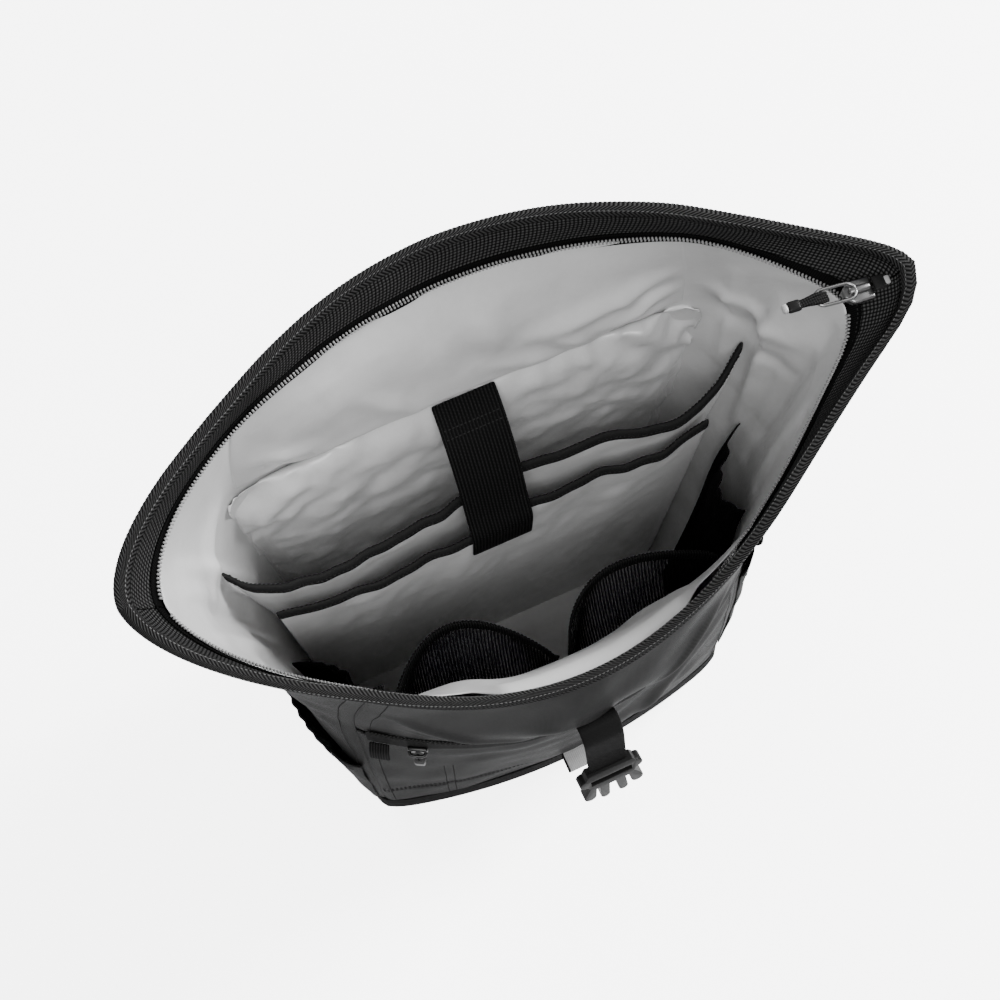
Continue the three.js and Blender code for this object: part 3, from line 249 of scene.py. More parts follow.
@dataclass
class BagWall:
    """The bag's outline at every height, which all its layers follow."""

    body_width: float = 282.0
    front_depth: float = 73.0
    back_depth: float = 80.0
    body_height: float = 280.0
    wrap_height: float = 60.0
    mouth_right: float = 204.0
    mouth_left: float = 196.0
    mouth_front: float = 100.0
    mouth_back: float = 115.0
    mouth_height: float = 504.5
    mouth_tilt: float = 8.0
    front_sag: float = 104.0
    back_rise: float = 3.5
    shell_wall: float = 1.6
    liner_inset: float = 3.4
    band_drop: float = 24.0
    band_inset: float = 2.5
    band_wall: float = 1.2
    tip_flat_front: float = 14.0
    tip_flat_back: float = 6.0
    tip_pull_right: float = 17.0
    tip_pull_left: float = 5.0
    front_slack: float = 31.0
    side_slack: float = 4.0
    table: dict[str, Array] = field(default_factory=dict)

    def __post_init__(self) -> None:
        """Reads the sections once, so that any level can be looked up quickly."""
        keys = np.array([row[0] for row in SECTION_ROWS])
        self.table["level"] = np.linspace(0, 2, 1601)
        for place, name in enumerate(SECTION_COLUMNS[1:], 1):
            column = np.array([row[place] for row in SECTION_ROWS])
            self.table[name] = smooth_column(keys, column, self.table["level"])

    def column(self, name: str, level: Array) -> Array:
        """One section value at some levels."""
        return np.interp(level, self.table["level"], self.table[name])

    def slack(self, level: Array) -> Array:
        """How much of its slack the lining shows at some levels."""
        keys, values = (np.array(c) for c in zip(*SLACK_ROWS))
        return smooth_column(keys, values, np.clip(level, 0, 2))

    def sharp_plan(self, place: Array, level: Array, inset: Array) -> tuple[Array, Array]:
        """The outline before its corners are rounded.

        Args:
            place: Places round the wall, from 0 to 4.
            level: Levels from 0 at the base to 2 at the mouth.
            inset: How far inside the outer face.

        Returns:
            The x and y of the outline.
        """
        row = {name: self.column(name, level) for name in SECTION_COLUMNS[1:]}
        panel, share = split_place(place)
        way = 2 * share - 1
        half = self.body_width / 2
        tip = 1 + 0.35 * np.maximum(0, level - 1)
        right = lerp(half, self.mouth_right, row["flare"]) - inset * tip
        left = lerp(half, self.mouth_left, row["flare"]) - inset * tip
        front_x, back_x = row["front_x"] * half - inset, row["back_x"] * half - inset
        front_y = inset - row["front_y"] * self.front_depth
        front_mid = inset - row["front_mid"] * self.mouth_front
        back_y = row["back_y"] * self.back_depth - inset
        back_mid = row["back_mid"] * self.mouth_back - inset
        on_right = np.where(way < 0, row["right_front"], row["right_back"])
        on_left = np.where(way < 0, row["left_back"], row["left_front"])
        depth = (row["back_y"] * self.back_depth + row["front_y"] * self.front_depth) / 2
        reach = np.where(way < 0, self.tip_flat_front, self.tip_flat_back) * np.maximum(0, level - 1)
        away = np.maximum(0, np.abs(way) - reach / depth) / (1 - reach / depth)
        sides = [panel == Panel.FRONT, panel == Panel.RIGHT, panel == Panel.BACK]
        x = np.select(
            sides,
            [way * front_x, lerp(right, lerp(front_x, back_x, share), away**on_right), -way * back_x],
            -lerp(left, lerp(back_x, front_x, share), np.abs(way) ** on_left),
        )
        y = np.select(
            sides,
            [lerp(front_mid, front_y, way**2), lerp(front_y, back_y, share), lerp(back_mid, back_y, way**2)],
            lerp(back_y, front_y, share),
        )
        return x, y

    def across_mouth(self, place: Array) -> tuple[Array, Array]:
        """How far across the mouth a place lies, and whether it is on the front half.

        Args:
            place: Places round the wall.

        Returns:
            The share from -1 at the left tip to 1 at the right tip, and a mask of the front.
        """
        span = self.mouth_left + self.mouth_right
        front_seam = self.column("front_x", 2.0) * self.body_width / span
        back_seam = self.column("back_x", 2.0) * self.body_width / span
        panel, along = split_place(place)
        from_front = np.where(panel == Panel.RIGHT, along, 1 - along)
        front_side = from_front < 0.5
        seam = np.where(front_side, front_seam, back_seam)
        side = lerp(seam, 1, 1 - np.abs(2 * from_front - 1))
        share = np.select(
            [panel == Panel.FRONT, panel == Panel.BACK, panel == Panel.RIGHT],
            [(2 * along - 1) * front_seam, (1 - 2 * along) * back_seam, side],
            -side,
        )
        front = (panel == Panel.FRONT) | ((panel != Panel.BACK) & front_side)
        return share, front

    def rim(self, place: Array) -> Array:
        """Height of the mouth's edge at some places."""
        share, front = self.across_mouth(place)
        lift = np.where(front, -self.front_sag, self.back_rise)
        return self.mouth_height + self.mouth_tilt * share + lift * np.cos(share * np.pi / 2)

    def level_at(self, place: Array, z: Array) -> Array:
        """Level of a height at some places."""
        above = 1 + (z - self.body_height) / (self.rim(place) - self.body_height)
        return np.where(z <= self.body_height, z / self.body_height, above)

    def level_below_rim(self, place: Array, drop: Array) -> Array:
        """Level that lies a drop below the mouth's edge."""
        return 2 - drop / (self.rim(place) - self.body_height)

    def inward(self, place: Array) -> Array:
        """Direction into the bag from each place's panel."""
        ways = np.array([(0, 1, 0), (-1, 0, 0), (0, -1, 0), (1, 0, 0)], float)
        return ways[np.floor(place).astype(int) % 4]

    def point(self, place: Array, level: Array, inset: Array = 0.0, push: Array = 0.0) -> Array:
        """Points on the wall.

        Args:
            place: Places round the wall.
            level: Levels from 0 to 2.
            inset: How far inside the outer face.
            push: How far moved into the bag as well.

        Returns:
            An array of points, in millimetres.
        """
        given = (np.asarray(a, float) for a in (place, level, inset, push))
        place, level, inset, push = np.broadcast_arrays(*given)
        x, y = np.zeros(place.shape), np.zeros(place.shape)
        for step, weight in zip((-2, -1, 0, 1, 2), (1, 4, 6, 4, 1)):
            sharp_x, sharp_y = self.sharp_plan(place + step / 24, level, inset)
            x, y = x + sharp_x * weight / 16, y + sharp_y * weight / 16
        z = np.where(
            level <= 1,
            level * self.body_height,
            lerp(self.body_height, self.rim(place), np.maximum(level, 1) - 1),
        )
        return np.stack([x, y, z], -1) + self.inward(place) * push[..., None]

    def folds(self, rows: Sequence[Fold], place: Array, level: Array) -> Array:
        """Sum of the soft folds at some places and levels."""
        panel, along = split_place(place)
        push = np.zeros(np.shape(place))
        for row in rows:
            bump = np.exp(-(((along - row.along) / row.wide) ** 2) - ((level - row.level) / row.tall) ** 2)
            push = push + np.where(panel == row.panel, row.out * bump, 0)
        return push * hump(along) * clamp((2 - level) / 0.15)

    def creases(self, rows: Sequence[Crease], place: Array, level: Array) -> Array:
        """Sum of the long creases at some places and levels."""
        panel, along = split_place(place)
        widths = np.array([250.0, 170.0, 270.0, 170.0])
        push = np.zeros(np.shape(place))
        for row in rows:
            scale = np.array([widths[row.panel], 200.0])
            start, end = np.array(row.start) * scale, np.array(row.end) * scale
            spot = np.stack([along, level], -1) * scale
            share = clamp((spot - start) @ (end - start) / ((end - start) @ (end - start)))
            away = np.linalg.norm(spot - start - share[..., None] * (end - start), axis=-1)
            ridge = row.height * np.exp(-((away / row.width) ** 2)) * (0.35 + 0.65 * hump(share))
            push = push + np.where(panel == row.panel, ridge, 0)
        return push * clamp(hump(along) * 3) * clamp((2 - level) / 0.12)

    def tip_pull(self, place: Array, level: Array) -> Array:
        """How far the closed ends of the zip pull the layers in at the mouth's corners."""
        panel, along = split_place(place)
        sides = [panel == Panel.RIGHT, panel == Panel.LEFT]
        reach = np.select(sides, [self.tip_pull_right, self.tip_pull_left], 0.0)
        near = clamp((2 - level) / (self.band_drop / (self.mouth_height - self.body_height)))
        return reach * hump(along) ** 2 * near * clamp((level - 1.2) / 0.5)

    def lining(self, place: Array, level: Array, inset: Array) -> Array:
        """Points on the lining, with its slack and folds."""
        panel, along = split_place(place)
        sides = [panel == Panel.FRONT, panel == Panel.BACK]
        slack = np.select(sides, [self.front_slack, 0.0], self.side_slack)
        push = slack * self.slack(level) * hump(along) + self.folds(LINING_FOLDS, place, level)
        return self.point(place, level, inset, push + self.tip_pull(place, level))

    def band(self, place: Array, drop: Array, inset: Array) -> Array:
        """Points on the woven band inside the mouth, at a drop below its edge."""
        level = self.level_below_rim(place, drop)
        below = clamp((drop - 9.0) / (self.band_drop - 9.0))
        return self.point(place, level, inset, self.tip_pull(place, level) * below)

    def outward(self, place: float, level: float) -> Array:
        """Level direction out of the wall at one place."""
        before, after = self.point(place - 0.02, level), self.point(place + 0.02, level)
        way = np.array([after[1] - before[1], before[0] - after[0], 0])
        return way / np.linalg.norm(way)

    def back_face(self, x: float, z: float, width: float, height: float) -> float:
        """The back wall's outermost y under a piece of that width and height."""
        face = 0.0
        for across in (-0.5, 0, 0.5):
            for up in (-0.5, 0, 0.5):
                level = self.level_at(np.array(Panel.BACK + 0.5), np.array(z + up * height))
                half = self.column("back_x", level) * self.body_width / 2
                spot = Panel.BACK + 0.5 - (x + across * width) / half / 2
                face = max(face, float(self.point(spot, level)[1]))
        return face


WALL = BagWall()


def ripple(points: Array, wavelength: float, seed: int, waves: int = 14) -> Array:
    """A soft uneven surface made of a few sine waves, the same on each run.

    Args:
        points: Points in millimetres.
        wavelength: The usual distance from crest to crest.
        seed: Which set of waves to use.
        waves: How many waves are added.

    Returns:
        Heights of about -1 to 1.
    """
    draw = np.random.default_rng(seed)
    ways = draw.normal(size=(waves, points.shape[-1]))
    ways /= np.linalg.norm(ways, axis=1, keepdims=True)
    lengths = wavelength * draw.uniform(0.6, 1.6, waves)
    phases = draw.uniform(0, 2 * np.pi, waves)
    turned = points @ (ways / lengths[:, None] * 2 * np.pi).T + phases
    return np.sin(turned).sum(-1) / math.sqrt(waves)


# Finishes


class Graph:
    """Adds shader nodes to a tree in short calls."""

    def __init__(self, tree: bpy.types.NodeTree) -> None:
        """Keeps the tree."""
        self.tree = tree

    def add(self, kind: str, **settings: object) -> bpy.types.Node:
        """Adds a node and sets its properties."""
        node = self.tree.nodes.new(kind)
        for name, value in settings.items():
            setattr(node, name, value)
        return node

    def feed(self, socket: bpy.types.NodeSocket, value: object) -> None:
        """Links a socket into another, or sets its value."""
        if isinstance(value, bpy.types.NodeSocket):
            self.tree.links.new(value, socket)
        else:
            socket.default_value = value

    def math(self, operation: str, *values: object, clamp: bool = False) -> bpy.types.NodeSocket:
        """Adds a Math node over one to three values."""
        node = self.add("ShaderNodeMath", operation=operation, use_clamp=clamp)
        for socket, value in zip(node.inputs, values):
            self.feed(socket, value)
        return node.outputs[0]

    def noise(self, vector: bpy.types.NodeSocket, scale: object, detail: float = 2.0) -> bpy.types.NodeSocket:
        """Adds a Noise Texture and gives its value."""
        node = self.add("ShaderNodeTexNoise")
        self.feed(node.inputs["Vector"], vector)
        self.feed(node.inputs["Scale"], scale)
        node.inputs["Detail"].default_value = detail
        return node.outputs[0]

    def wave(self, value: object, turns: float = 1.0) -> bpy.types.NodeSocket:
        """A sine between 0 and 1 of a value counted in turns."""
        turned = self.math("MULTIPLY", value, 2 * math.pi * turns)
        return self.math("MULTIPLY_ADD", self.math("SINE", turned), 0.5, 0.5)


def weave_heights(graph: Graph, weave: Weave, vector: object, pitch: object) -> tuple[object, object]:
    """Draws one weave with nodes.

    Args:
        graph: Where the nodes go.
        weave: Which weave to draw.
        vector: Position on the cloth, in millimetres.
        pitch: Distance between threads, in millimetres.

    Returns:
        The height and the open share (1 where there is thread).
    """
    split = graph.add("ShaderNodeSeparateXYZ")
    graph.feed(split.inputs[0], vector)
    across = graph.math("DIVIDE", split.outputs[0], pitch)
    along = graph.math("DIVIDE", split.outputs[1], pitch)
    if weave in (Weave.BASKET, Weave.MESH, Weave.STRETCH):
        a = graph.math("ABSOLUTE", graph.math("SINE", graph.math("MULTIPLY", across, math.pi)))
        b = graph.math("ABSOLUTE", graph.math("SINE", graph.math("MULTIPLY", along, math.pi)))
        dots = graph.math("MULTIPLY", a, b)
        if weave is Weave.MESH:
            threads = graph.math("LESS_THAN", dots, 0.55)
            return graph.math("SUBTRACT", 1.0, dots), threads
        return graph.math("POWER", dots, 1.3 if weave is Weave.BASKET else 0.6), 1.0
    if weave is Weave.TWILL:
        return graph.wave(graph.math("ADD", across, along)), 1.0
    if weave is Weave.CHEVRON:
        turn = graph.math("PINGPONG", along, 1.6)
        return graph.wave(graph.math("ADD", across, graph.math("MULTIPLY", turn, 0.8))), 1.0
    if weave is Weave.RIBBED:
        ribs = graph.wave(across)
        knots = graph.wave(graph.math("ADD", along, graph.math("MULTIPLY", graph.math("ROUND", across), 0.5)))
        return graph.math("MULTIPLY", ribs, graph.math("MULTIPLY_ADD", knots, 0.5, 0.5)), 1.0
    scales = {Weave.SATIN: 1.1, Weave.FELT: 1.6, Weave.MOULDED: 1.2, Weave.METAL: 2.0}
    return graph.noise(vector, graph.math("DIVIDE", scales[weave], pitch), 3.0), 1.0


def new_group(name: str, number: str, outputs: Sequence[str]) -> bpy.types.NodeTree:
    """Starts a node group that takes a Vector and one number.

    Args:
        name: The group's name.
        number: Name of the number.
        outputs: Names of the values it puts out.

    Returns:
        The empty group.
    """
    tree = bpy.data.node_groups.new(name, "ShaderNodeTree")
    tree.interface.new_socket("Vector", in_out="INPUT", socket_type="NodeSocketVector")
    tree.interface.new_socket(number, in_out="INPUT", socket_type="NodeSocketFloat")
    for output in outputs:
        tree.interface.new_socket(output, in_out="OUTPUT", socket_type="NodeSocketFloat")
    return tree


def weave_group(weave: Weave) -> bpy.types.NodeTree:
    """The shared node group of one weave, made on first use.

    Args:
        weave: Which weave it draws.

    Returns:
        The group, with Vector and Pitch in, and Height and Thread out.
    """
    name = f"weave_{weave.name.lower()}"
    if name in bpy.data.node_groups:
        return bpy.data.node_groups[name]
    tree = new_group(name, "Pitch", ("Height", "Thread"))
    graph = Graph(tree)
    entry, leave = graph.add("NodeGroupInput"), graph.add("NodeGroupOutput")
    height, thread = weave_heights(graph, weave, entry.outputs[0], entry.outputs[1])
    graph.feed(leave.inputs[0], height)
    graph.feed(leave.inputs[1], thread)
    return tree


def wear_group() -> bpy.types.NodeTree:
    """The shared node group of uneven colour and soft rumples.

    Returns:
        The group, with Vector and Size in, and Shade and Height out.
    """
    name = "uneven_cloth"
    if name in bpy.data.node_groups:
        return bpy.data.node_groups[name]
    tree = new_group(name, "Size", ("Shade", "Height"))
    graph = Graph(tree)
    entry, leave = graph.add("NodeGroupInput"), graph.add("NodeGroupOutput")
    scale = graph.math("DIVIDE", 1.0, entry.outputs[1])
    broad = graph.noise(entry.outputs[0], scale, 3.0)
    fine = graph.noise(entry.outputs[0], graph.math("MULTIPLY", scale, 9.0), 2.0)
    graph.feed(leave.inputs[0], graph.math("MULTIPLY_ADD", fine, 0.3, graph.math("MULTIPLY", broad, 0.7)))
    graph.feed(leave.inputs[1], broad)
    return tree


@dataclass(frozen=True)
class Finish:
    """One cloth, tape, plastic or metal, with its weave and the greys of its threads and gaps."""

    name: str
    slot: str
    light: float
    dark: float
    roughness: float
    weave: Weave
    pitch: float = 1.0
    depth: float = 0.1
    rumple: float = 0.0
    rumple_size: float = 30.0
    sheen: float = 0.0
    metallic: float = 0.0
    specular: float = 0.5
    on_cloth: bool = True

    def material(self) -> bpy.types.Material:
        """The Blender material, made on first use."""
        title = f"finish_{self.name}"
        if title in bpy.data.materials:
            return bpy.data.materials[title]
        material = bpy.data.materials.new(title)
        material.use_nodes = True
        graph = Graph(material.node_tree)
        shader = material.node_tree.nodes["Principled BSDF"]
        solid = graph.add("ShaderNodeTexCoord").outputs["Object"]
        to_mm = graph.add("ShaderNodeMapping")
        to_mm.inputs["Scale"].default_value = (1000, 1000, 1000)
        graph.feed(to_mm.inputs["Vector"], solid)
        spot = graph.add("ShaderNodeUVMap", uv_map="cloth").outputs[0] if self.on_cloth else to_mm.outputs[0]
        weave = graph.add("ShaderNodeGroup", node_tree=weave_group(self.weave))
        graph.feed(weave.inputs["Vector"], spot)
        weave.inputs["Pitch"].default_value = self.pitch
        wear = graph.add("ShaderNodeGroup", node_tree=wear_group())
        graph.feed(wear.inputs["Vector"], to_mm.outputs[0])
        wear.inputs["Size"].default_value = self.rumple_size
        mix = graph.add("ShaderNodeMix", data_type="RGBA")
        graph.feed(mix.inputs["Factor"], weave.outputs["Height"])
        mix.inputs["A"].default_value = (self.dark, self.dark, self.dark, 1)
        mix.inputs["B"].default_value = (self.light, self.light, self.light, 1)
        worn = graph.add("ShaderNodeHueSaturation")
        graph.feed(worn.inputs["Color"], mix.outputs["Result"])
        graph.feed(worn.inputs["Value"], graph.math("MULTIPLY_ADD", wear.outputs["Shade"], 0.3, 0.85))
        graph.feed(shader.inputs["Base Color"], worn.outputs["Color"])
        total = graph.math("MULTIPLY", weave.outputs["Height"], self.depth)
        if self.rumple:
            total = graph.math("ADD", total, graph.math("MULTIPLY", wear.outputs["Height"], self.rumple))
        bump = graph.add("ShaderNodeBump")
        bump.inputs["Strength"].default_value = 1.0
        bump.inputs["Distance"].default_value = MM
        graph.feed(bump.inputs["Height"], total)
        graph.feed(shader.inputs["Normal"], bump.outputs["Normal"])
        shader.inputs["Roughness"].default_value = self.roughness
        shader.inputs["Metallic"].default_value = self.metallic
        shader.inputs["Specular IOR Level"].default_value = self.specular
        shader.inputs["Sheen Weight"].default_value = self.sheen
        shader.inputs["Sheen Roughness"].default_value = 0.4
        if self.weave is Weave.MESH:
            graph.feed(shader.inputs["Alpha"], weave.outputs["Thread"])
        return material


COATED = Finish(
    "coated_cloth", "coated_cloth", 0.021, 0.009, 0.40, Weave.TWILL, 1.5, 0.12, 0.5, 60.0, specular=0.008
)
RIB_CLOTH = Finish(
    "ribbed_collar_cloth", "coated_cloth", 0.022, 0.004, 0.5, Weave.TWILL, 2.2, 0.25, 0.4, 50.0,
    specular=0.003,
)
BASE = Finish(
    "base_cloth", "base_cloth", 0.011, 0.003, 0.5, Weave.BASKET, 1.8, 0.2, 0.3, 60.0, specular=0.004
)
# Woven band: its near-black gaps are the cloth's own colour, and its bright thread tops are painted
# highlights that stand in for the glints of its glossy threads.
BAND = Finish(
    "woven_band", "woven_band", 0.06, 0.001, 0.4, Weave.BASKET, 2.0, 0.55, 0.8, 30.0, specular=0.012
)
TAPE = Finish("binding_tape", "binding_tape", 0.035, 0.003, 0.6, Weave.CHEVRON, 2.2, 0.45, specular=0.003)
SATIN = Finish("satin_lining", "satin_lining", 0.52, 0.46, 0.34, Weave.SATIN, 0.7, 0.03, 0.9, 34.0, 0.1)
FELT = Finish(
    "felt_binding", "felt_binding", 0.022, 0.006, 0.95, Weave.FELT, 0.9, 0.30, 0.3, 12.0, specular=0.001
)
WEBBING = Finish(
    "black_webbing", "black_webbing", 0.013, 0.0015, 0.42, Weave.RIBBED, 2.0, 0.45, specular=0.02
)
FINE_WEBBING = Finish(
    "fine_webbing", "black_webbing", 0.018, 0.0025, 0.5, Weave.RIBBED, 1.6, 0.25, specular=0.003
)
CLOSURE_WEBBING = Finish(
    "closure_webbing", "black_webbing", 0.012, 0.005, 0.32, Weave.TWILL, 0.9, 0.05, specular=0.006
)
CORD = Finish(
    "braided_cord", "black_webbing", 0.02, 0.005, 0.6, Weave.BASKET, 1.2, 0.2,
    specular=0.01, on_cloth=False,
)
MESH = Finish("open_mesh", "mesh_cloth", 0.010, 0.004, 0.7, Weave.MESH, 2.1, 0.10, specular=0.005)
STRETCH = Finish(
    "stretch_cloth", "mesh_cloth", 0.009, 0.003, 0.8, Weave.STRETCH, 1.4, 0.12, 0.8, 22.0, specular=0.002
)
AIR_MESH = Finish(
    "padded_mesh", "mesh_cloth", 0.030, 0.007, 0.8, Weave.STRETCH, 3.2, 0.5, specular=0.02,
    on_cloth=False,
)
PAD_SATIN = Finish(
    "padded_satin", "satin_lining", 0.52, 0.46, 0.32, Weave.SATIN, 0.7, 0.03, 0.9, 30.0, 0.1,
    on_cloth=False,
)
COIL = Finish("zip_coil", "zip_coil", 0.26, 0.12, 0.35, Weave.MOULDED, 0.6, 0.02, on_cloth=False)
ZIP_TAPE = Finish("zip_tape", "zip_coil", 0.006, 0.002, 0.75, Weave.RIBBED, 1.2, 0.15, specular=0.002)
THREAD = Finish(
    "sewing_thread", "binding_tape", 0.13, 0.06, 0.6, Weave.MOULDED, 0.5, 0.03, specular=0.01,
    on_cloth=False,
)
THREAD_DARK = Finish(
    "dark_thread", "coated_cloth", 0.03, 0.012, 0.6, Weave.MOULDED, 0.5, 0.03, specular=0.003,
    on_cloth=False,
)
METAL = Finish(
    "gunmetal", "metal_trim", 0.20, 0.15, 0.32, Weave.METAL, 0.8, 0.01, metallic=1.0,
    on_cloth=False,
)
DARK_METAL = Finish(
    "blackened_metal", "metal_trim", 0.035, 0.02, 0.35, Weave.METAL, 0.8, 0.01, metallic=1.0,
    on_cloth=False,
)
DARK_CAP = Finish(
    "dark_cap", "grey_trim", 0.05, 0.035, 0.4, Weave.MOULDED, 0.8, 0.03, specular=0.1,
    on_cloth=False,
)
PLASTIC = Finish(
    "moulded_black", "moulded_black", 0.010, 0.006, 0.3, Weave.MOULDED, 0.9, 0.04, specular=0.08,
    on_cloth=False,
)
GREY_TAPE = Finish("grey_tape", "grey_trim", 0.30, 0.20, 0.6, Weave.RIBBED, 1.4, 0.12)
GREY_CAP = Finish("grey_cap", "grey_trim", 0.28, 0.22, 0.4, Weave.MOULDED, 0.8, 0.03, on_cloth=False)


# Making pieces


@dataclass
class Piece:
    """A finished object and the flat size of its cloth."""

    body: bpy.types.Object
    width: float = 0.0
    length: float = 0.0

    def modify(self, kind: str, **settings: object) -> "Piece":
        """Adds a modifier."""
        modifier = self.body.modifiers.new(kind.lower(), kind)
        for name, value in settings.items():
            setattr(modifier, name, value)
        return self

    def thicken(self, wall: float, offset: float = -1.0) -> "Piece":
        """Gives the cloth its wall, in millimetres."""
        return self.modify("SOLIDIFY", thickness=wall * MM, offset=offset, use_even_offset=True)

    def smooth(self, levels: int = 1) -> "Piece":
        """Rounds the piece by subdivision."""
        return self.modify("SUBSURF", levels=levels, render_levels=levels)

    def dress(self, finish: Finish, *nodes: str) -> "Piece":
        """Gives the piece its finish and its place on the pack.

        Args:
            finish: The finish it wears.
            nodes: The solids that it stands for.

        Returns:
            The piece.
        """
        self.body.data.materials.clear()
        self.body.data.materials.append(finish.material())
        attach(self.body, "root")
        if nodes:
            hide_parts(*nodes)
        LOG.info("%s: %d faces", self.body.name, len(self.body.data.polygons))
        return self

    def cloth(self, held: str, *rests_on: str) -> "Piece":
        return self


def make_object(name: str, bm: bmesh.types.BMesh) -> bpy.types.Object:
    """Turns a bmesh into a smooth-shaded object at the origin."""
    mesh = bpy.data.meshes.new(name)
    bm.to_mesh(mesh)
    bm.free()
    mesh.polygons.foreach_set("use_smooth", np.ones(len(mesh.polygons), bool))
    made = bpy.data.objects.new(name, mesh)
    bpy.context.scene.collection.objects.link(made)
    return made


def sew_sheet(
    name: str,
    columns: int,
    rows: int,
    at: Surface,
    facing: Sequence[float] = (0, 0, 1),
    ring: bool = False,
) -> Piece:
    """Lays a flat grid of cloth onto a surface, with a UV map in millimetres along the cloth.

    Args:
        name: The piece's name.
        columns: Faces across.
        rows: Faces up.
        at: Gives the points for shares across and up.
        facing: A direction that the sheet's front mostly faces. A ring gives one for its first edge.
        ring: Whether the two side edges are joined.

    Returns:
        The piece, one layer thick.
    """
    bm = bmesh.new()
    bmesh.ops.create_grid(bm, x_segments=columns, y_segments=rows, size=0.5)
    bm.verts.index_update()
    flat = np.array([v.co for v in bm.verts])
    u, v = clamp(flat[:, 0] + 0.5), clamp(flat[:, 1] + 0.5)
    points = at(u, v)
    for vertex, point in zip(bm.verts, points * MM):
        vertex.co = point
    order = np.lexsort((np.round(u * columns), np.round(v * rows)))
    grid = points[order].reshape(rows + 1, columns + 1, 3)
    steps_u = np.linalg.norm(np.diff(grid, axis=1), axis=2)
    steps_v = np.linalg.norm(np.diff(grid, axis=0), axis=2)
    run_u = np.concatenate([np.zeros((rows + 1, 1)), np.cumsum(steps_u, 1)], 1)
    run_v = np.concatenate([np.zeros((1, columns + 1)), np.cumsum(steps_v, 0)], 0)
    spots = np.zeros((len(points), 2))
    spots[order] = np.stack([run_u - run_u[:, -1:] / 2, run_v], -1).reshape(-1, 2)
    layer = bm.loops.layers.uv.new("cloth")
    for face in bm.faces:
        for loop in face.loops:
            loop[layer].uv = spots[loop.vert.index]
    across = grid[1:, 1:] - grid[:-1, :-1]
    up = grid[1:, :-1] - grid[:-1, 1:]
    normals = np.cross(across, up)
    area = float(np.linalg.norm(normals, axis=2).sum() / 2)
    normal = normals[:, 0].sum(0) if ring else normals.sum((0, 1))
    if normal @ np.array(facing, float) < 0:
        bmesh.ops.reverse_faces(bm, faces=bm.faces[:])
    if ring:
        bmesh.ops.remove_doubles(bm, verts=bm.verts[:], dist=0.02 * MM)
    width = float(run_u[:, -1].mean())
    return Piece(make_object(name, bm), width, area / width)


def catmull(points: Sequence[Sequence[float]], at: Array) -> Array:
    """Points on the smooth path through some points.

    Args:
        points: The path's points.
        at: Shares of the way along it, by point count.

    Returns:
        The points on the path.
    """
    knots = np.array(points, float)
    knots = np.vstack([2 * knots[0] - knots[1], knots, 2 * knots[-1] - knots[-2]])
    spot = clamp(at) * (len(points) - 1)
    span = np.minimum(spot.astype(int), len(points) - 2)
    share = (spot - span)[:, None]
    p0, p1, p2, p3 = (knots[span + k] for k in range(4))
    gaps = (np.linalg.norm(b - a, axis=1, keepdims=True) for a, b in ((p0, p1), (p1, p2), (p2, p3)))
    d0, d1, d2 = (np.maximum(gap, 1e-4) ** 0.5 for gap in gaps)
    t1 = ((p1 - p0) / d0 - (p2 - p0) / (d0 + d1) + (p2 - p1) / d1) * d1
    t2 = ((p2 - p1) / d1 - (p3 - p1) / (d1 + d2) + (p3 - p2) / d2) * d1
    c2 = -3 * p1 + 3 * p2 - 2 * t1 - t2
    c3 = 2 * p1 - 2 * p2 + t1 + t2
    return p1 + t1 * share + c2 * share**2 + c3 * share**3


def run_along(line: Array) -> Array:
    """Distance from the start of a line of points to each of them."""
    return np.concatenate([[0], np.cumsum(np.linalg.norm(np.diff(line, axis=0), axis=1))])


def read_along(line: Array, run: Array, want: Array) -> Array:
    """A line's points, or the directions kept with them, at the wanted distances."""
    return np.stack([np.interp(want, run, line[:, axis]) for axis in range(3)], -1)


def even_path(points: Sequence[Sequence[float]], count: int) -> Array:
    """Points spaced evenly along the smooth path through some points."""
    fine = catmull(points, np.linspace(0, 1, 400))
    run = run_along(fine)
    return read_along(fine, run, np.linspace(0, run[-1], count))


def ribbon(
    name: str,
    path: Sequence[Sequence[float]],
    across: Sequence[float],
    width: float,
    wall: float,
    steps: int,
    columns: int = 6,
) -> Piece:
    """A flat strap along a path.

    Args:
        name: The piece's name.
        path: The middle of the strap.
        across: Direction of its width.
        width: Its width.
        wall: Its thickness.
        steps: Faces along it.
        columns: Faces across it.

    Returns:
        The strap with its wall, ready to be dressed.
    """
    line = even_path(path, steps + 1)
    way = np.array(across, float)
    way /= np.linalg.norm(way)

    def at(u: Array, v: Array) -> Array:
        """Points of the strap's middle layer."""
        return line[np.round(v * steps).astype(int)] + ((u - 0.5) * width)[:, None] * way

    facing = np.cross(line[1] - line[0], way)
    return sew_sheet(name, columns, steps, at, facing).thicken(wall, 0.0).smooth()


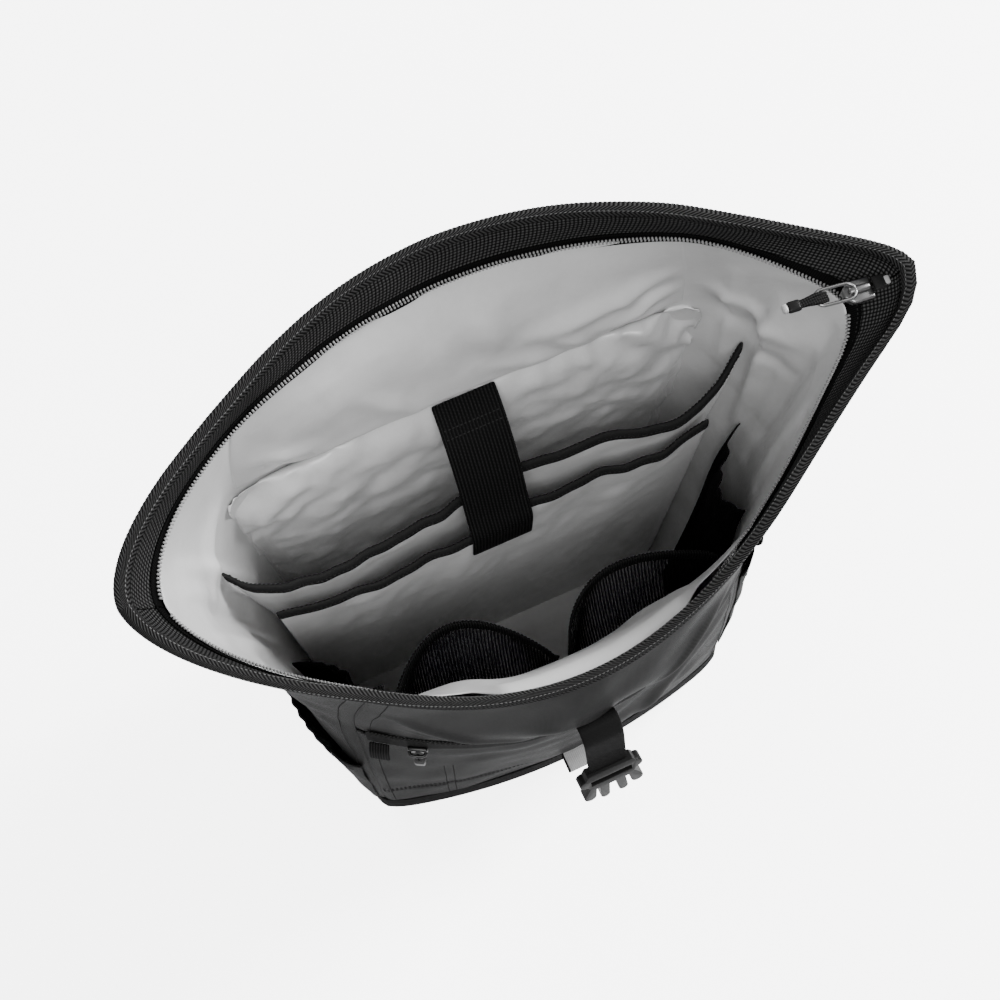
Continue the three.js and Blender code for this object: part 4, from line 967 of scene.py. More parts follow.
def tube(name: str, path: Sequence[Sequence[float]], radius: float, steps: int, sides: int = 10) -> Piece:
    """A round cord or wire along a path, closed at its ends.

    Args:
        name: The piece's name.
        path: The middle of the cord.
        radius: Half its thickness.
        steps: Faces along it.
        sides: Faces round it.

    Returns:
        The piece, to be dressed.
    """
    line = [Vector(spot) * MM for spot in even_path(path, steps + 1)]
    ways = [(line[min(i + 1, steps)] - line[max(i - 1, 0)]).normalized() for i in range(steps + 1)]
    bm = bmesh.new()
    turn = ways[0].to_track_quat("Z", "Y").to_matrix().to_4x4()
    bmesh.ops.create_circle(bm, segments=sides, radius=radius * MM, matrix=Matrix.Translation(line[0]) @ turn)
    edges = bm.edges[:]
    for i in range(1, steps + 1):
        made = bmesh.ops.extrude_edge_only(bm, edges=edges)["geom"]
        ring = {g for g in made if isinstance(g, bmesh.types.BMVert)}
        edges = [g for g in made if isinstance(g, bmesh.types.BMEdge) and set(g.verts) <= ring]
        turn = ways[i - 1].rotation_difference(ways[i]).to_matrix().to_4x4()
        step = Matrix.Translation(line[i]) @ turn @ Matrix.Translation(-line[i - 1])
        bmesh.ops.transform(bm, matrix=step, verts=list(ring))
    bmesh.ops.holes_fill(bm, edges=[e for e in bm.edges if e.is_boundary], sides=sides)
    bmesh.ops.recalc_face_normals(bm, faces=bm.faces[:])
    return Piece(make_object(name, bm))


def repeat(name: str, unit: bmesh.types.BMesh, spots: Array, along: Array, up: Array) -> Piece:
    """Sets many copies of a small unit along a line, such as stitches or teeth.

    Args:
        name: The piece's name.
        unit: The unit in millimetres, with x along the line and z up from the cloth.
        spots: Where each copy goes.
        along: Direction of the line at each copy.
        up: Direction out of the cloth at each copy.

    Returns:
        One piece with all the copies.
    """
    shape = bpy.data.meshes.new(name)
    unit.to_mesh(shape)
    unit.free()
    own = np.array([v.co for v in shape.vertices])
    many = bmesh.new()
    for _ in range(len(spots)):
        many.from_mesh(shape)
    along = along / np.linalg.norm(along, axis=1, keepdims=True)
    side = np.cross(up, along)
    side /= np.linalg.norm(side, axis=1, keepdims=True)
    top = np.cross(along, side)
    axes = np.stack([along, side, top], 1)
    points = (np.einsum("vk,nkx->nvx", own, axes) + spots[:, None]).reshape(-1, 3) * MM
    made = make_object(name, many)
    made.data.vertices.foreach_set("co", points.astype(np.float32).ravel())
    made.data.update()
    bpy.data.meshes.remove(shape)
    return Piece(made)


def stitch_unit(length: float, width: float, height: float) -> bmesh.types.BMesh:
    """One stitch of thread, in millimetres."""
    bm = bmesh.new()
    bmesh.ops.create_uvsphere(bm, u_segments=6, v_segments=4, radius=0.5)
    bmesh.ops.scale(bm, vec=(length, width, height), verts=bm.verts[:])
    return bm


def stitch_row(
    name: str, line: Array, up: Array, pitch: float = 2.6, finish: Finish = THREAD, size: float = 1.0
) -> Piece:
    """A row of stitches along a line of points.

    Args:
        name: The piece's name.
        line: Points along the seam, close together.
        up: Direction out of the cloth at each point.
        pitch: Distance from stitch to stitch.
        finish: The thread.
        size: Scale of each stitch's thickness.

    Returns:
        The dressed row.
    """
    run = run_along(line)
    want = np.arange(pitch / 2, run[-1], pitch)
    spots, ups = read_along(line, run, want), read_along(up, run, want)
    ahead, behind = read_along(line, run, want + 0.5), read_along(line, run, want - 0.5)
    unit = stitch_unit(pitch * 0.78, 0.75 * size, 0.55 * size)
    return repeat(name, unit, spots, ahead - behind, ups).dress(finish)


def swapped(at: Surface) -> Surface:
    """The same surface with its shares across and up swapped."""

    def turned(u: Array, v: Array) -> Array:
        """Points of the surface."""
        return at(v, u)

    return turned


def surface_line(
    at: Surface, shares: Array, row: float, out: float = 0.2, facing: Optional[Array] = None
) -> tuple[Array, Array]:
    """A line along a surface, lifted a little out of it.

    Args:
        at: The surface.
        shares: Shares across it.
        row: The share up it.
        out: How far the line stands off, with a sign for the side where facing is left out.
        facing: The direction that the line's side of the surface faces.

    Returns:
        The points and the direction out of the surface at each.
    """
    step = 0.002
    rows = np.full(shares.shape, row)
    spots = at(shares, rows)
    across = at(np.minimum(shares + step, 1), rows) - at(np.maximum(shares - step, 0), rows)
    up = at(shares, np.minimum(rows + step, 1)) - at(shares, np.maximum(rows - step, 0))
    normal = np.cross(across, up)
    normal /= np.maximum(np.linalg.norm(normal, axis=1, keepdims=True), 1e-9)
    if facing is not None and (normal * facing).sum() < 0:
        out = -out
    return spots + normal * out, normal * np.sign(out)


def standing(centre: Sequence[float], across: Vector, along: Vector, up: Vector) -> Matrix:
    """The frame at a point whose x, y and z run across, along and up."""
    return Matrix.Translation(centre) @ Matrix((across, along, up)).transposed().to_4x4()


def solid_corners(name: str) -> tuple[Vector, Vector]:
    """The lowest and highest corner of a solid's box, in millimetres."""
    low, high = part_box(name)
    return low / MM, high / MM


def rounded_block(
    name: str, low: Sequence[float], high: Sequence[float], radius: float, turn: Optional[Matrix] = None
) -> Piece:
    """A block with rounded edges.

    Args:
        name: The piece's name.
        low: Its lowest corner in millimetres, in its own frame.
        high: Its highest corner.
        radius: The edge radius.
        turn: Where its own frame stands on the pack.

    Returns:
        The piece, to be dressed.
    """
    bm = bmesh.new()
    bmesh.ops.create_cube(bm, size=1)
    size = np.array(high, float) - np.array(low, float)
    bmesh.ops.scale(bm, vec=size, verts=bm.verts[:])
    bmesh.ops.translate(bm, vec=(np.array(high, float) + np.array(low, float)) / 2, verts=bm.verts[:])
    bmesh.ops.bevel(bm, geom=bm.edges[:], offset=radius, segments=3, profile=0.5, affect="EDGES", material=-1)
    bmesh.ops.transform(bm, matrix=Matrix.Scale(MM, 4) @ (turn or Matrix.Identity(4)), verts=bm.verts[:])
    return Piece(make_object(name, bm))


def swell(
    piece: Piece, voxel: float, pressure: float, cap: float, way: Optional[Sequence[float]] = None
) -> Piece:
    """Stuffs a closed cloth body by a short cloth simulation, and keeps the result as its mesh.

    Args:
        piece: The closed body, with its modifiers.
        voxel: Size of the new mesh's faces in millimetres.
        pressure: The stuffing's pressure.
        cap: How far a point may move, in millimetres.
        way: The only direction that points may move in.

    Returns:
        The same piece with its new mesh.
    """
    scene = bpy.context.scene
    piece.modify("REMESH", mode="VOXEL", voxel_size=voxel * MM, use_smooth_shade=True)
    body = piece.body
    shaped = bpy.data.meshes.new_from_object(body.evaluated_get(bpy.context.evaluated_depsgraph_get()))
    body.modifiers.clear()
    body.data = shaped
    count = len(shaped.vertices)
    before = np.zeros(count * 3)
    shaped.vertices.foreach_get("co", before)
    before = before.reshape(-1, 3)
    cloth = body.modifiers.new("cloth", "CLOTH")
    cloth.settings.quality = 4
    cloth.settings.mass = 0.25
    cloth.settings.tension_stiffness = 12
    cloth.settings.compression_stiffness = 12
    cloth.settings.bending_stiffness = 0.4
    cloth.settings.use_pressure = True
    cloth.settings.uniform_pressure_force = pressure
    cloth.settings.effector_weights.gravity = 0
    cloth.collision_settings.use_collision = False
    cloth.point_cache.frame_start, cloth.point_cache.frame_end = 1, 20
    for step in range(1, 21):
        scene.frame_set(step)
    after = np.zeros(count * 3)
    grown = body.evaluated_get(bpy.context.evaluated_depsgraph_get()).to_mesh()
    grown.vertices.foreach_get("co", after)
    moved = after.reshape(-1, 3) - before
    body.modifiers.clear()
    scene.frame_set(1)
    if way is not None:
        allowed = np.array(way, float)
        moved = np.clip(moved @ allowed, 0, None)[:, None] * allowed
    size = np.maximum(np.linalg.norm(moved, axis=1, keepdims=True), 1e-9)
    moved *= cap * MM * np.tanh(size / (cap * MM)) / size
    shaped.vertices.foreach_set("co", (before + moved).ravel())
    shaped.update()
    return piece.smooth()


def carve(piece: Piece, change: Callable[[Array, Array], Array]) -> Piece:
    """Moves a mesh's points by a function of their places and normals, in millimetres."""
    mesh = piece.body.data
    count = len(mesh.vertices)
    points, normals = np.zeros(count * 3), np.zeros(count * 3)
    mesh.vertices.foreach_get("co", points)
    mesh.vertices.foreach_get("normal", normals)
    moved = change(points.reshape(-1, 3) / MM, normals.reshape(-1, 3))
    mesh.vertices.foreach_set("co", (moved * MM).ravel())
    mesh.update()
    return piece


# The outer shell


@dataclass
class Shell:
    """The outer cloth: base, front pocket, collar, back and two sides."""

    seam_pinch: float = 1.3
    seam_width: float = 3.0
    zip_half: float = 3.3
    ripple_height: float = 0.7

    def surface(self, panel: Panel, low: float, high: float) -> Surface:
        """The outer face of one panel between two levels.

        Args:
            panel: Which side.
            low: The lower level.
            high: The upper level.

        Returns:
            A surface over shares along the panel and up it.
        """
        length = 260.0 if panel in (Panel.FRONT, Panel.BACK) else 175.0

        def at(u: Array, v: Array) -> Array:
            """Points of the outer face."""
            place = panel + 0.0008 + u * 0.9984
            level = lerp(low, high, v)
            spot = WALL.point(place, level)
            edge = np.minimum(u, 1 - u) * length
            pinch = self.seam_pinch * np.exp(-((edge / self.seam_width) ** 2))
            roll = -0.7 * np.exp(-(((edge - 5.5) / 3.0) ** 2))
            rise = WALL.folds(SHELL_FOLDS, place, level) + WALL.creases(SHELL_CREASES, place, level)
            soft = self.ripple_height * ripple(spot, 48, 11 + panel) * clamp(edge / 8)
            soft = soft * clamp((2 - level) / 0.1)
            return spot + WALL.inward(place) * (pinch + roll - rise - soft)[:, None]

        return at

    def build(self) -> None:
        """Builds and dresses every outer panel."""
        foot = WALL.wrap_height / WALL.body_height + 0.0015
        under = 1 - self.zip_half / WALL.body_height
        over = 1 + self.zip_half / (WALL.rim(np.array(0.5)) - WALL.body_height)
        sizes = (
            ("front_pocket_panel", Panel.FRONT, foot, under, (0, -1, 0), 64, 54),
            ("front_collar_panel", Panel.FRONT, float(over), 2.0, (0, -1, 0), 64, 40),
            ("right_side_panel", Panel.RIGHT, foot, 2.0, (1, 0, 0), 40, 96),
            ("back_shell_panel", Panel.BACK, foot, 2.0, (0, 1, 0), 48, 76),
            ("left_side_panel", Panel.LEFT, foot, 2.0, (-1, 0, 0), 40, 96),
        )
        for name, panel, low, high, facing, columns, rows in sizes:
            at = self.surface(panel, low, high)
            piece = sew_sheet(f"outer_{name}", columns, rows, at, facing).thicken(WALL.shell_wall)
            piece.smooth().dress(COATED, name).cloth("stretched", "base_tub")
        self.build_base()
        self.build_seams(foot)

    def build_base(self) -> None:
        """Builds the wrapped base with its bottom."""

        def at(u: Array, v: Array) -> Array:
            """Points from the middle of the bottom out and up the wrap."""
            place = u * 4
            under = clamp(v / 0.35)
            level = clamp((v - 0.35) / 0.65) * WALL.wrap_height / WALL.body_height
            spot = WALL.point(place, level)
            spot[:, :2] *= under[:, None]
            spot[:, 2] = np.where(v < 0.35, 0.0, spot[:, 2])
            return spot

        piece = sew_sheet("base_wrap", 144, 28, at, (-1, -1, 0), ring=True).thicken(2.2)
        piece.dress(BASE, "base_tub")

    def build_seams(self, foot: float) -> None:
        """Sews the piping-like joins and topstitches along the upright seams and the base."""
        shares = np.linspace(0, 1, 240)
        for panel in Panel:
            at = self.surface(panel, foot, 1.98)
            for side, share in (("start", 0.035), ("end", 0.965)):
                line, up = surface_line(swapped(at), shares, share, -0.25)
                stitch_row(f"seam_stitch_{panel.name.lower()}_{side}", line, up, 3.4, THREAD_DARK, 0.8)

        def low_wall(u: Array, v: Array) -> Array:
            """Points all round the foot of the wall."""
            return WALL.point(u * 4, v * 0.4)

        line, up = surface_line(low_wall, np.linspace(0, 1, 400), 0.50, -0.25)
        stitch_row("base_stitch", line, up, 3.6, THREAD_DARK, 0.8)
        front = self.surface(Panel.FRONT, foot, 0.985)
        for name, at, shares, row in (
            ("across_upper", front, np.linspace(0.01, 0.40, 120), 0.243),
            ("across_lower", front, np.linspace(0.01, 0.40, 120), 0.216),
            ("upright_left", swapped(front), np.linspace(0.01, 0.60, 120), 0.176),
            ("upright_right", swapped(front), np.linspace(0.01, 0.60, 120), 0.196),
        ):
            line, up = surface_line(at, shares, row, 0.25, np.array([0, -1, 0]))
            stitch_row(f"pocket_seam_{name}", line, up, 3.0, THREAD_DARK, 0.9)


# The mouth


@dataclass
class Mouth:
    """The mouth's binding tape, woven band and zip."""

    outer_drop: float = 7.0
    inner_drop: float = 4.2
    binding_wall: float = 0.9
    chain_drop: float = 24.3
    tooth_pitch: float = 1.9
    tooth_size: float = 1.35

    def build(self) -> None:
        """Builds the binding, the bands and the two halves of the zip."""
        self.build_binding()
        for half, start in (("front", -0.5), ("back", 1.5)):
            self.build_band(half, start)
            self.build_chain(half, start)

    def binding_surface(self, u: Array, v: Array) -> Array:
        """Points of the tape's outer face: up the outside, over the edge and down inside."""
        place = u * 4 - 0.5
        knots = np.array([0.0, 0.34, 0.42, 0.50, 0.58, 0.66, 1.0])
        insets = np.interp(v, knots, [-0.5, -0.5, -0.3, 1.7, 3.8, 4.3, 4.3])
        drops = np.interp(v, knots, [self.outer_drop, 0.2, -0.8, -1.2, -0.8, 0.2, self.inner_drop])
        level = np.minimum(2, WALL.level_below_rim(place, np.maximum(0, drops)))
        spot = WALL.point(place, level, insets)
        spot[:, 2] += np.maximum(0, -drops)
        wave = 0.25 * ripple(WALL.point(place, 2.0), 40, 5)
        return spot + np.array([0, 0, 1.0]) * wave[:, None]

    def build_binding(self) -> None:
        """Folds the herringbone tape over the mouth's edge and stitches it."""
        piece = sew_sheet("mouth_tape", 560, 14, self.binding_surface, (-1, 0, 0), ring=True)
        piece.thicken(self.binding_wall).dress(TAPE, "mouth_binding")
        shares = np.linspace(0, 1, 1400)
        for name, row, thread in (
            ("outer", 0.42, THREAD), ("inner", 0.60, THREAD),
            ("leg", 0.80, THREAD_DARK), ("hem", 0.14, THREAD_DARK),
        ):
            line, up = surface_line(self.binding_surface, shares, row, -0.22)
            stitch_row(f"binding_stitch_{name}", line, up, 2.3, thread, 0.8)

    def band_surface(self, start: float, low: float, high: float, inset: float) -> Surface:
        """The inner face of the band from one drop to another."""

        def at(u: Array, v: Array) -> Array:
            """Points of the band."""
            place = start + 0.002 + u * 1.996
            drop = lerp(low, high, v)
            spot = WALL.band(place, drop, inset)
            soft = 0.55 * ripple(spot, 46, 21) * hump(v)
            return spot + WALL.inward(place) * soft[:, None]

        return at

    def build_band(self, half: str, start: float) -> None:
        """Builds half of the woven band, with the stitches beside the zip."""
        inner = WALL.band_inset + WALL.band_wall
        at = self.band_surface(start, 0.8, WALL.band_drop + 1.5, inner)
        facing = (0, 1, 0) if half == "front" else (0, -1, 0)
        piece = sew_sheet(f"woven_band_{half}", 280, 12, at, facing).thicken(WALL.band_wall)
        piece.dress(BAND, f"mouth_band_{half}").cloth("stretched", "mouth_binding")
        line, up = surface_line(at, np.linspace(0.004, 0.996, 800), 0.90, 0.2, WALL.inward(start + 1.0))
        stitch_row(f"band_stitch_{half}", line, up, 2.4, THREAD_DARK, 1.1)

    def build_chain(self, half: str, start: float) -> None:
        """Builds half of the zip: its tape and two rows of teeth."""
        low, high = WALL.band_drop - 2.6, self.chain_drop + 6.5
        face = WALL.band_inset + WALL.band_wall + 0.9
        tape = self.band_surface(start, low, high, face)
        facing = (0, 1, 0) if half == "front" else (0, -1, 0)
        piece = sew_sheet(f"zip_tape_{half}", 280, 6, tape, facing).thicken(0.8)
        piece.dress(ZIP_TAPE, f"zip_chain_{half}")
        for row, drop in (("tail", self.chain_drop), ("head", self.chain_drop + 2.1)):
            shares = np.linspace(0.012, 0.988, 900)
            place = start + 0.002 + shares * 1.996
            line = self.band_surface(start, drop, drop + 1, face + 0.8)(shares, np.zeros(shares.shape))
            up = WALL.inward(place)
            run = run_along(line)
            want = np.arange(self.tooth_pitch * (1 if row == "tail" else 0.5), run[-1], self.tooth_pitch)
            spots = read_along(line, run, want)
            ahead = read_along(line, run, want + 0.8) - spots + 1e-6
            unit = stitch_unit(self.tooth_size, 1.7, 1.6)
            repeat(f"zip_teeth_{half}_{row}", unit, spots, ahead, read_along(up, run, want)).dress(COIL)


# The lining


@dataclass
class Lining:
    """The light satin lining on four sides and the floor."""

    top_drop: float = 27.5
    raised_drop: float = 5.2
    lap: float = 0.03
    wall: float = 1.0
    seam_height: float = 395.0
    pad_thickness: float = 8.0
    base_floor: float = 4.85

    def surface(self, panel: Panel) -> Surface:
        """The inner face of the lining on one side."""
        hidden = panel is Panel.BACK
        first = -self.lap if panel is Panel.LEFT else 0.0008
        last = 1 + self.lap if panel is Panel.RIGHT else 0.9992

        def at(u: Array, v: Array) -> Array:
            """Points of the lining's inner face."""
            place = panel + lerp(first, last, u)
            along = clamp(place - panel)
            cover = clamp(hump((along - 0.22) / 0.6) * 3) if panel is Panel.FRONT else 0 * u
            top = WALL.level_below_rim(place, lerp(self.top_drop, self.raised_drop, cover))
            foot = WALL.level_at(place, self.seam_height + 4) if hidden else 0.03
            share = v if hidden else v**0.8
            level = lerp(foot, top, share)
            inner = WALL.liner_inset + self.wall - 0.7 * (along != place - panel)
            spot = WALL.lining(place, level, inner)
            deep = (self.pad_thickness + 1) * (1 - v) ** 1.5 * hump(u) if hidden else 0 * v
            over_zip = 3.4 * clamp((v - 0.75) * 5) * clamp((1 - v) / 0.06)
            deep = deep + cover * (over_zip - 2.4 * clamp((v - 0.96) / 0.04))
            crease = WALL.creases(LINING_CREASES, place, level) * clamp((top - level) / 0.12)
            soft = 0.8 * ripple(spot, 70, 31 + panel) + 0.12 * ripple(spot, 22, 41 + panel)
            soft = soft * clamp(hump(along) * 3) * clamp((top - level) / 0.1)
            soft = soft * clamp(v * 12)
            return spot + WALL.inward(place) * (deep + crease + soft)[:, None]

        return at

    def build(self) -> None:
        """Builds the four lining panels and the floor."""
        sizes = (
            ("lining_front", Panel.FRONT, (0, 1, 0), 72, 84),
            ("lining_right", Panel.RIGHT, (-1, 0, 0), 52, 110),
            ("lining_back", Panel.BACK, (0, -1, 0), 110, 40),
            ("lining_left", Panel.LEFT, (1, 0, 0), 52, 110),
        )
        for name, panel, facing, columns, rows in sizes:
            piece = sew_sheet(f"satin_{name}", columns, rows, self.surface(panel), facing)
            piece.thicken(self.wall).smooth().dress(SATIN, name).cloth("hung", "mouth_binding")

        def behind(u: Array, v: Array) -> Array:
            """Points of the back wall's lining behind the pad, turned round both back corners."""
            place = Panel.BACK - 0.07 + u * 1.14
            level = WALL.level_at(place, lerp(self.base_floor + 3, self.seam_height + 12, v))
            crease = WALL.creases(LINING_CREASES, place, level)
            return WALL.point(place, level, WALL.liner_inset + 0.3, crease)

        piece = sew_sheet("satin_behind_pad", 60, 60, behind, (0, -1, 0))
        piece.thicken(self.wall).dress(SATIN).cloth("hung", "satin_lining_back")

        def floor(u: Array, v: Array) -> Array:
            """Points of the floor from its middle to its edge."""
            spot = WALL.point(u * 4, 0.04, WALL.liner_inset)
            spot[:, :2] *= v[:, None]
            spot[:, 2] = self.base_floor + 2 + 0.5 * ripple(spot[:, :2], 60, 51) * hump(v)
            return spot

        piece = sew_sheet("satin_floor", 96, 16, floor, (0, 0, 1), ring=True)
        piece.thicken(1.6).dress(SATIN, "lining_floor")


# Laptop and tablet sleeves

LAPTOP_EDGE = (
    (-1.00, 1.26, 0.90), (-0.92, 0.98, 0.36), (-0.72, 0.76, 0.04), (-0.36, 0.88, 0.00), (-0.08, 1.10, 0.00),
    (0.20, 1.14, 0.00), (0.42, 1.04, 0.00), (0.66, 0.86, 0.00), (0.86, 0.98, 0.20), (1.00, 1.36, 1.00),
)
TABLET_EDGE = (
    (-1.00, 0.54, 0.00), (-0.72, 0.36, 0.00), (-0.34, 0.32, 0.00), (-0.10, 0.46, 0.00),
    (0.16, 0.58, 0.00), (0.50, 0.56, 0.00), (0.80, 0.52, 0.06), (1.00, 0.62, 0.20),
)


@dataclass
class Divider:
    """A soft padded divider that hangs between the sides, with a felt edge."""

    name: str
    edge: Sequence[tuple[float, float, float]]
    height: float
    wall: float
    foot: float
    span_left: float
    span_right: float
    seed: int
    setback: float = 30.0
    floor_top: float = 7.2
    felt_height: float = 7.0
    felt_lap: float = 3.2

    def surface(self) -> Surface:
        """The divider's middle layer over shares across and up."""
        keys, back, rise = (np.array(c) for c in zip(*self.edge))
        steps = np.linspace(0.02, 0.98, 49)

        def inner_half(y: Array, z: Array, panel: Panel) -> Array:
            """Where the lining stands at one side, for each point."""
            place = panel + steps[None, :] + 0 * y[:, None]
            level = WALL.level_at(place, z[:, None] + 0 * place)
            spots = WALL.lining(place, level, WALL.liner_inset + 1.0)
            near = np.abs(spots[..., 1] - y[:, None]) < 5
            return np.where(near, np.abs(spots[..., 0]), 500.0).min(1)

        def at(u: Array, v: Array) -> Array:
            """Points of the middle layer."""
            across = 2 * u - 1
            set_back = smooth_column(keys, back, across) * self.setback
            z = lerp(self.floor_top, self.height + smooth_column(keys, rise, across) * self.setback, v)
            y = lerp(self.foot, set_back, v**0.8)
            half = np.where(across > 0, inner_half(y, z, Panel.RIGHT), inner_half(y, z, Panel.LEFT)) - 0.8
            span = np.where(across > 0, np.minimum(self.span_right, half), np.minimum(self.span_left, half))
            x = across * span
            spot = np.stack([x, y, z], -1)
            sway = 1.6 * ripple(spot * np.array([1, 0, 0.35]), 52, self.seed)
            fine = 0.7 * ripple(spot * np.array([1, 0, 0.6]), 19, self.seed + 1)
            spot[:, 1] += (sway + fine) * clamp(hump(u) * 2.5) * clamp(v * 3)
            return spot

        return at

    def build(self) -> None:
        """Builds the divider and its felt edge."""
        at = self.surface()
        piece = sew_sheet(f"satin_{self.name}", 84, 56, at, (0, -1, 0)).thicken(self.wall, 0.0)
        piece.smooth().dress(SATIN, self.name)
        half = self.wall / 2 + 0.9
        tall = self.felt_height + self.felt_lap

        def felt(u: Array, v: Array) -> Array:
            """Points round the felt binding's outer face."""
            base = at(u, np.ones(u.shape))
            angle = v * np.pi
            base[:, 1] += -half * np.cos(angle)
            base[:, 2] += tall * np.sin(angle) ** 0.6 - self.felt_lap
            return base

        edge = sew_sheet(f"felt_{self.name}", 150, 8, felt, (0, 0, 1)).thicken(1.0)
        edge.smooth().dress(FELT, f"{self.name}_binding")
        for side, row in (("front", 0.12), ("back", 0.88)):
            line, up = surface_line(felt, np.linspace(0.01, 0.99, 500), row, 0.15)
            stitch_row(f"felt_stitch_{self.name}_{side}", line, up, 2.6, THREAD_DARK, 0.8)


@dataclass
class Sleeves:
    """The padded back, the two dividers and the strap over them."""

    pad_thickness: float = 8.0
    pad_top: float = 396.5
    pad_wrap: float = 0.08
    floor_top: float = 7.2
    strap_width: float = 38.0
    strap_wall: float = 1.8

    def build(self) -> None:
        """Builds the sleeves from back to front."""
        self.build_pad()
        for divider in (
            Divider(
                "laptop_divider", LAPTOP_EDGE, height=350, wall=3.0, foot=42,
                span_left=196, span_right=206, seed=61,
            ),
            Divider(
                "tablet_divider", TABLET_EDGE, height=334, wall=2.2, foot=26,
                span_left=141, span_right=130, seed=71,
            ),
        ):
            divider.build()
        self.build_strap()

    def build_pad(self) -> None:
        """Stuffs the satin pad behind the laptop and gathers it under its seam."""

        def at(u: Array, v: Array) -> Array:
            """Points of the pad's middle layer."""
            place = Panel.BACK - self.pad_wrap + u * (1 + 2 * self.pad_wrap)
            level = WALL.level_at(place, lerp(self.floor_top, self.pad_top - 1.5, v))
            return WALL.point(place, level, WALL.liner_inset + 0.5 + self.pad_thickness / 2)

        piece = sew_sheet("satin_back_pad", 56, 72, at, (0, -1, 0)).thicken(self.pad_thickness, 0.0)
        swell(piece, voxel=5.0, pressure=4.0, cap=7.0, way=(0, -1, 0))

        def gather(points: Array, normals: Array) -> Array:
            """Adds the short gathers under the seam and the slanting wrinkles at both ends."""
            front = clamp(-normals[:, 1] * 2)
            below = np.clip(self.pad_top - points[:, 2], 0, None)
            aside = np.abs(points[:, 0])
            gathers = 2.2 * np.sin(points[:, 0] * 0.36 + 3 * ripple(points[:, :1], 50, 81))
            gathers = gathers * np.exp(-below / 16)
            ends = clamp((aside - 55) / 60)
            slant = points[:, 2] * 0.8 + aside * 0.9
            swirl = 3.4 * np.sin(slant * 0.19 + 2.0 * ripple(points, 70, 82)) * ends * np.exp(-below / 70)
            loose = 1.3 * ripple(points, 30, 83) + 0.5 * ripple(points, 12, 84)
            moved = points.copy()
            thin = 6.0 * clamp((aside - 92) / 36) ** 2
            moved[:, 1] -= front * (gathers + swirl + loose - thin)
            side = np.sign(points[:, 0])
            inner = clamp(-side * normals[:, 0] * 2) * clamp((aside - 112) / 14)
            moved[:, 0] += side * 6.2 * inner
            return moved

        carve(piece, gather)
        piece.dress(PAD_SATIN, "sleeve_back_pad")

    def build_strap(self) -> None:
        """Lays the wide webbing strap from the seam over both dividers."""
        front = float(smooth_column(*(np.array(c) for c in list(zip(*TABLET_EDGE))[:2]), np.array([0.0]))[0])
        front = front * Divider.setback - 1.1 - 6.4
        top = self.pad_top + 1.2
        path = [
            (-0.5, 73, top), (-1.5, 60, top - 2), (-2.5, 46, top - 9), (-3.5, 31, top - 23),
            (-4.5, front + 9, 353), (-5, front + 1.5, 343), (-5.5, front, 331), (-6, front - 0.5, 318),
        ]
        strap = ribbon("sleeve_webbing", path, (1, 0, 0), self.strap_width, self.strap_wall, 44, 14)
        strap.dress(WEBBING, "sleeve_strap")
        line = even_path(path, 45)
        for name, spot in (("top", 6), ("low", 8)):
            across = np.linspace(-0.45, 0.45, 30)[:, None] * np.array([[self.strap_width, 0, 0]])
            rows = line[spot] + across + np.array([0, -0.5, 1.2])
            ups = np.tile(np.array([[0, -0.5, 0.85]]), (30, 1))
            stitch_row(f"strap_stitch_{name}", rows, ups, 2.4, THREAD_DARK, 1.2)


# Pockets inside


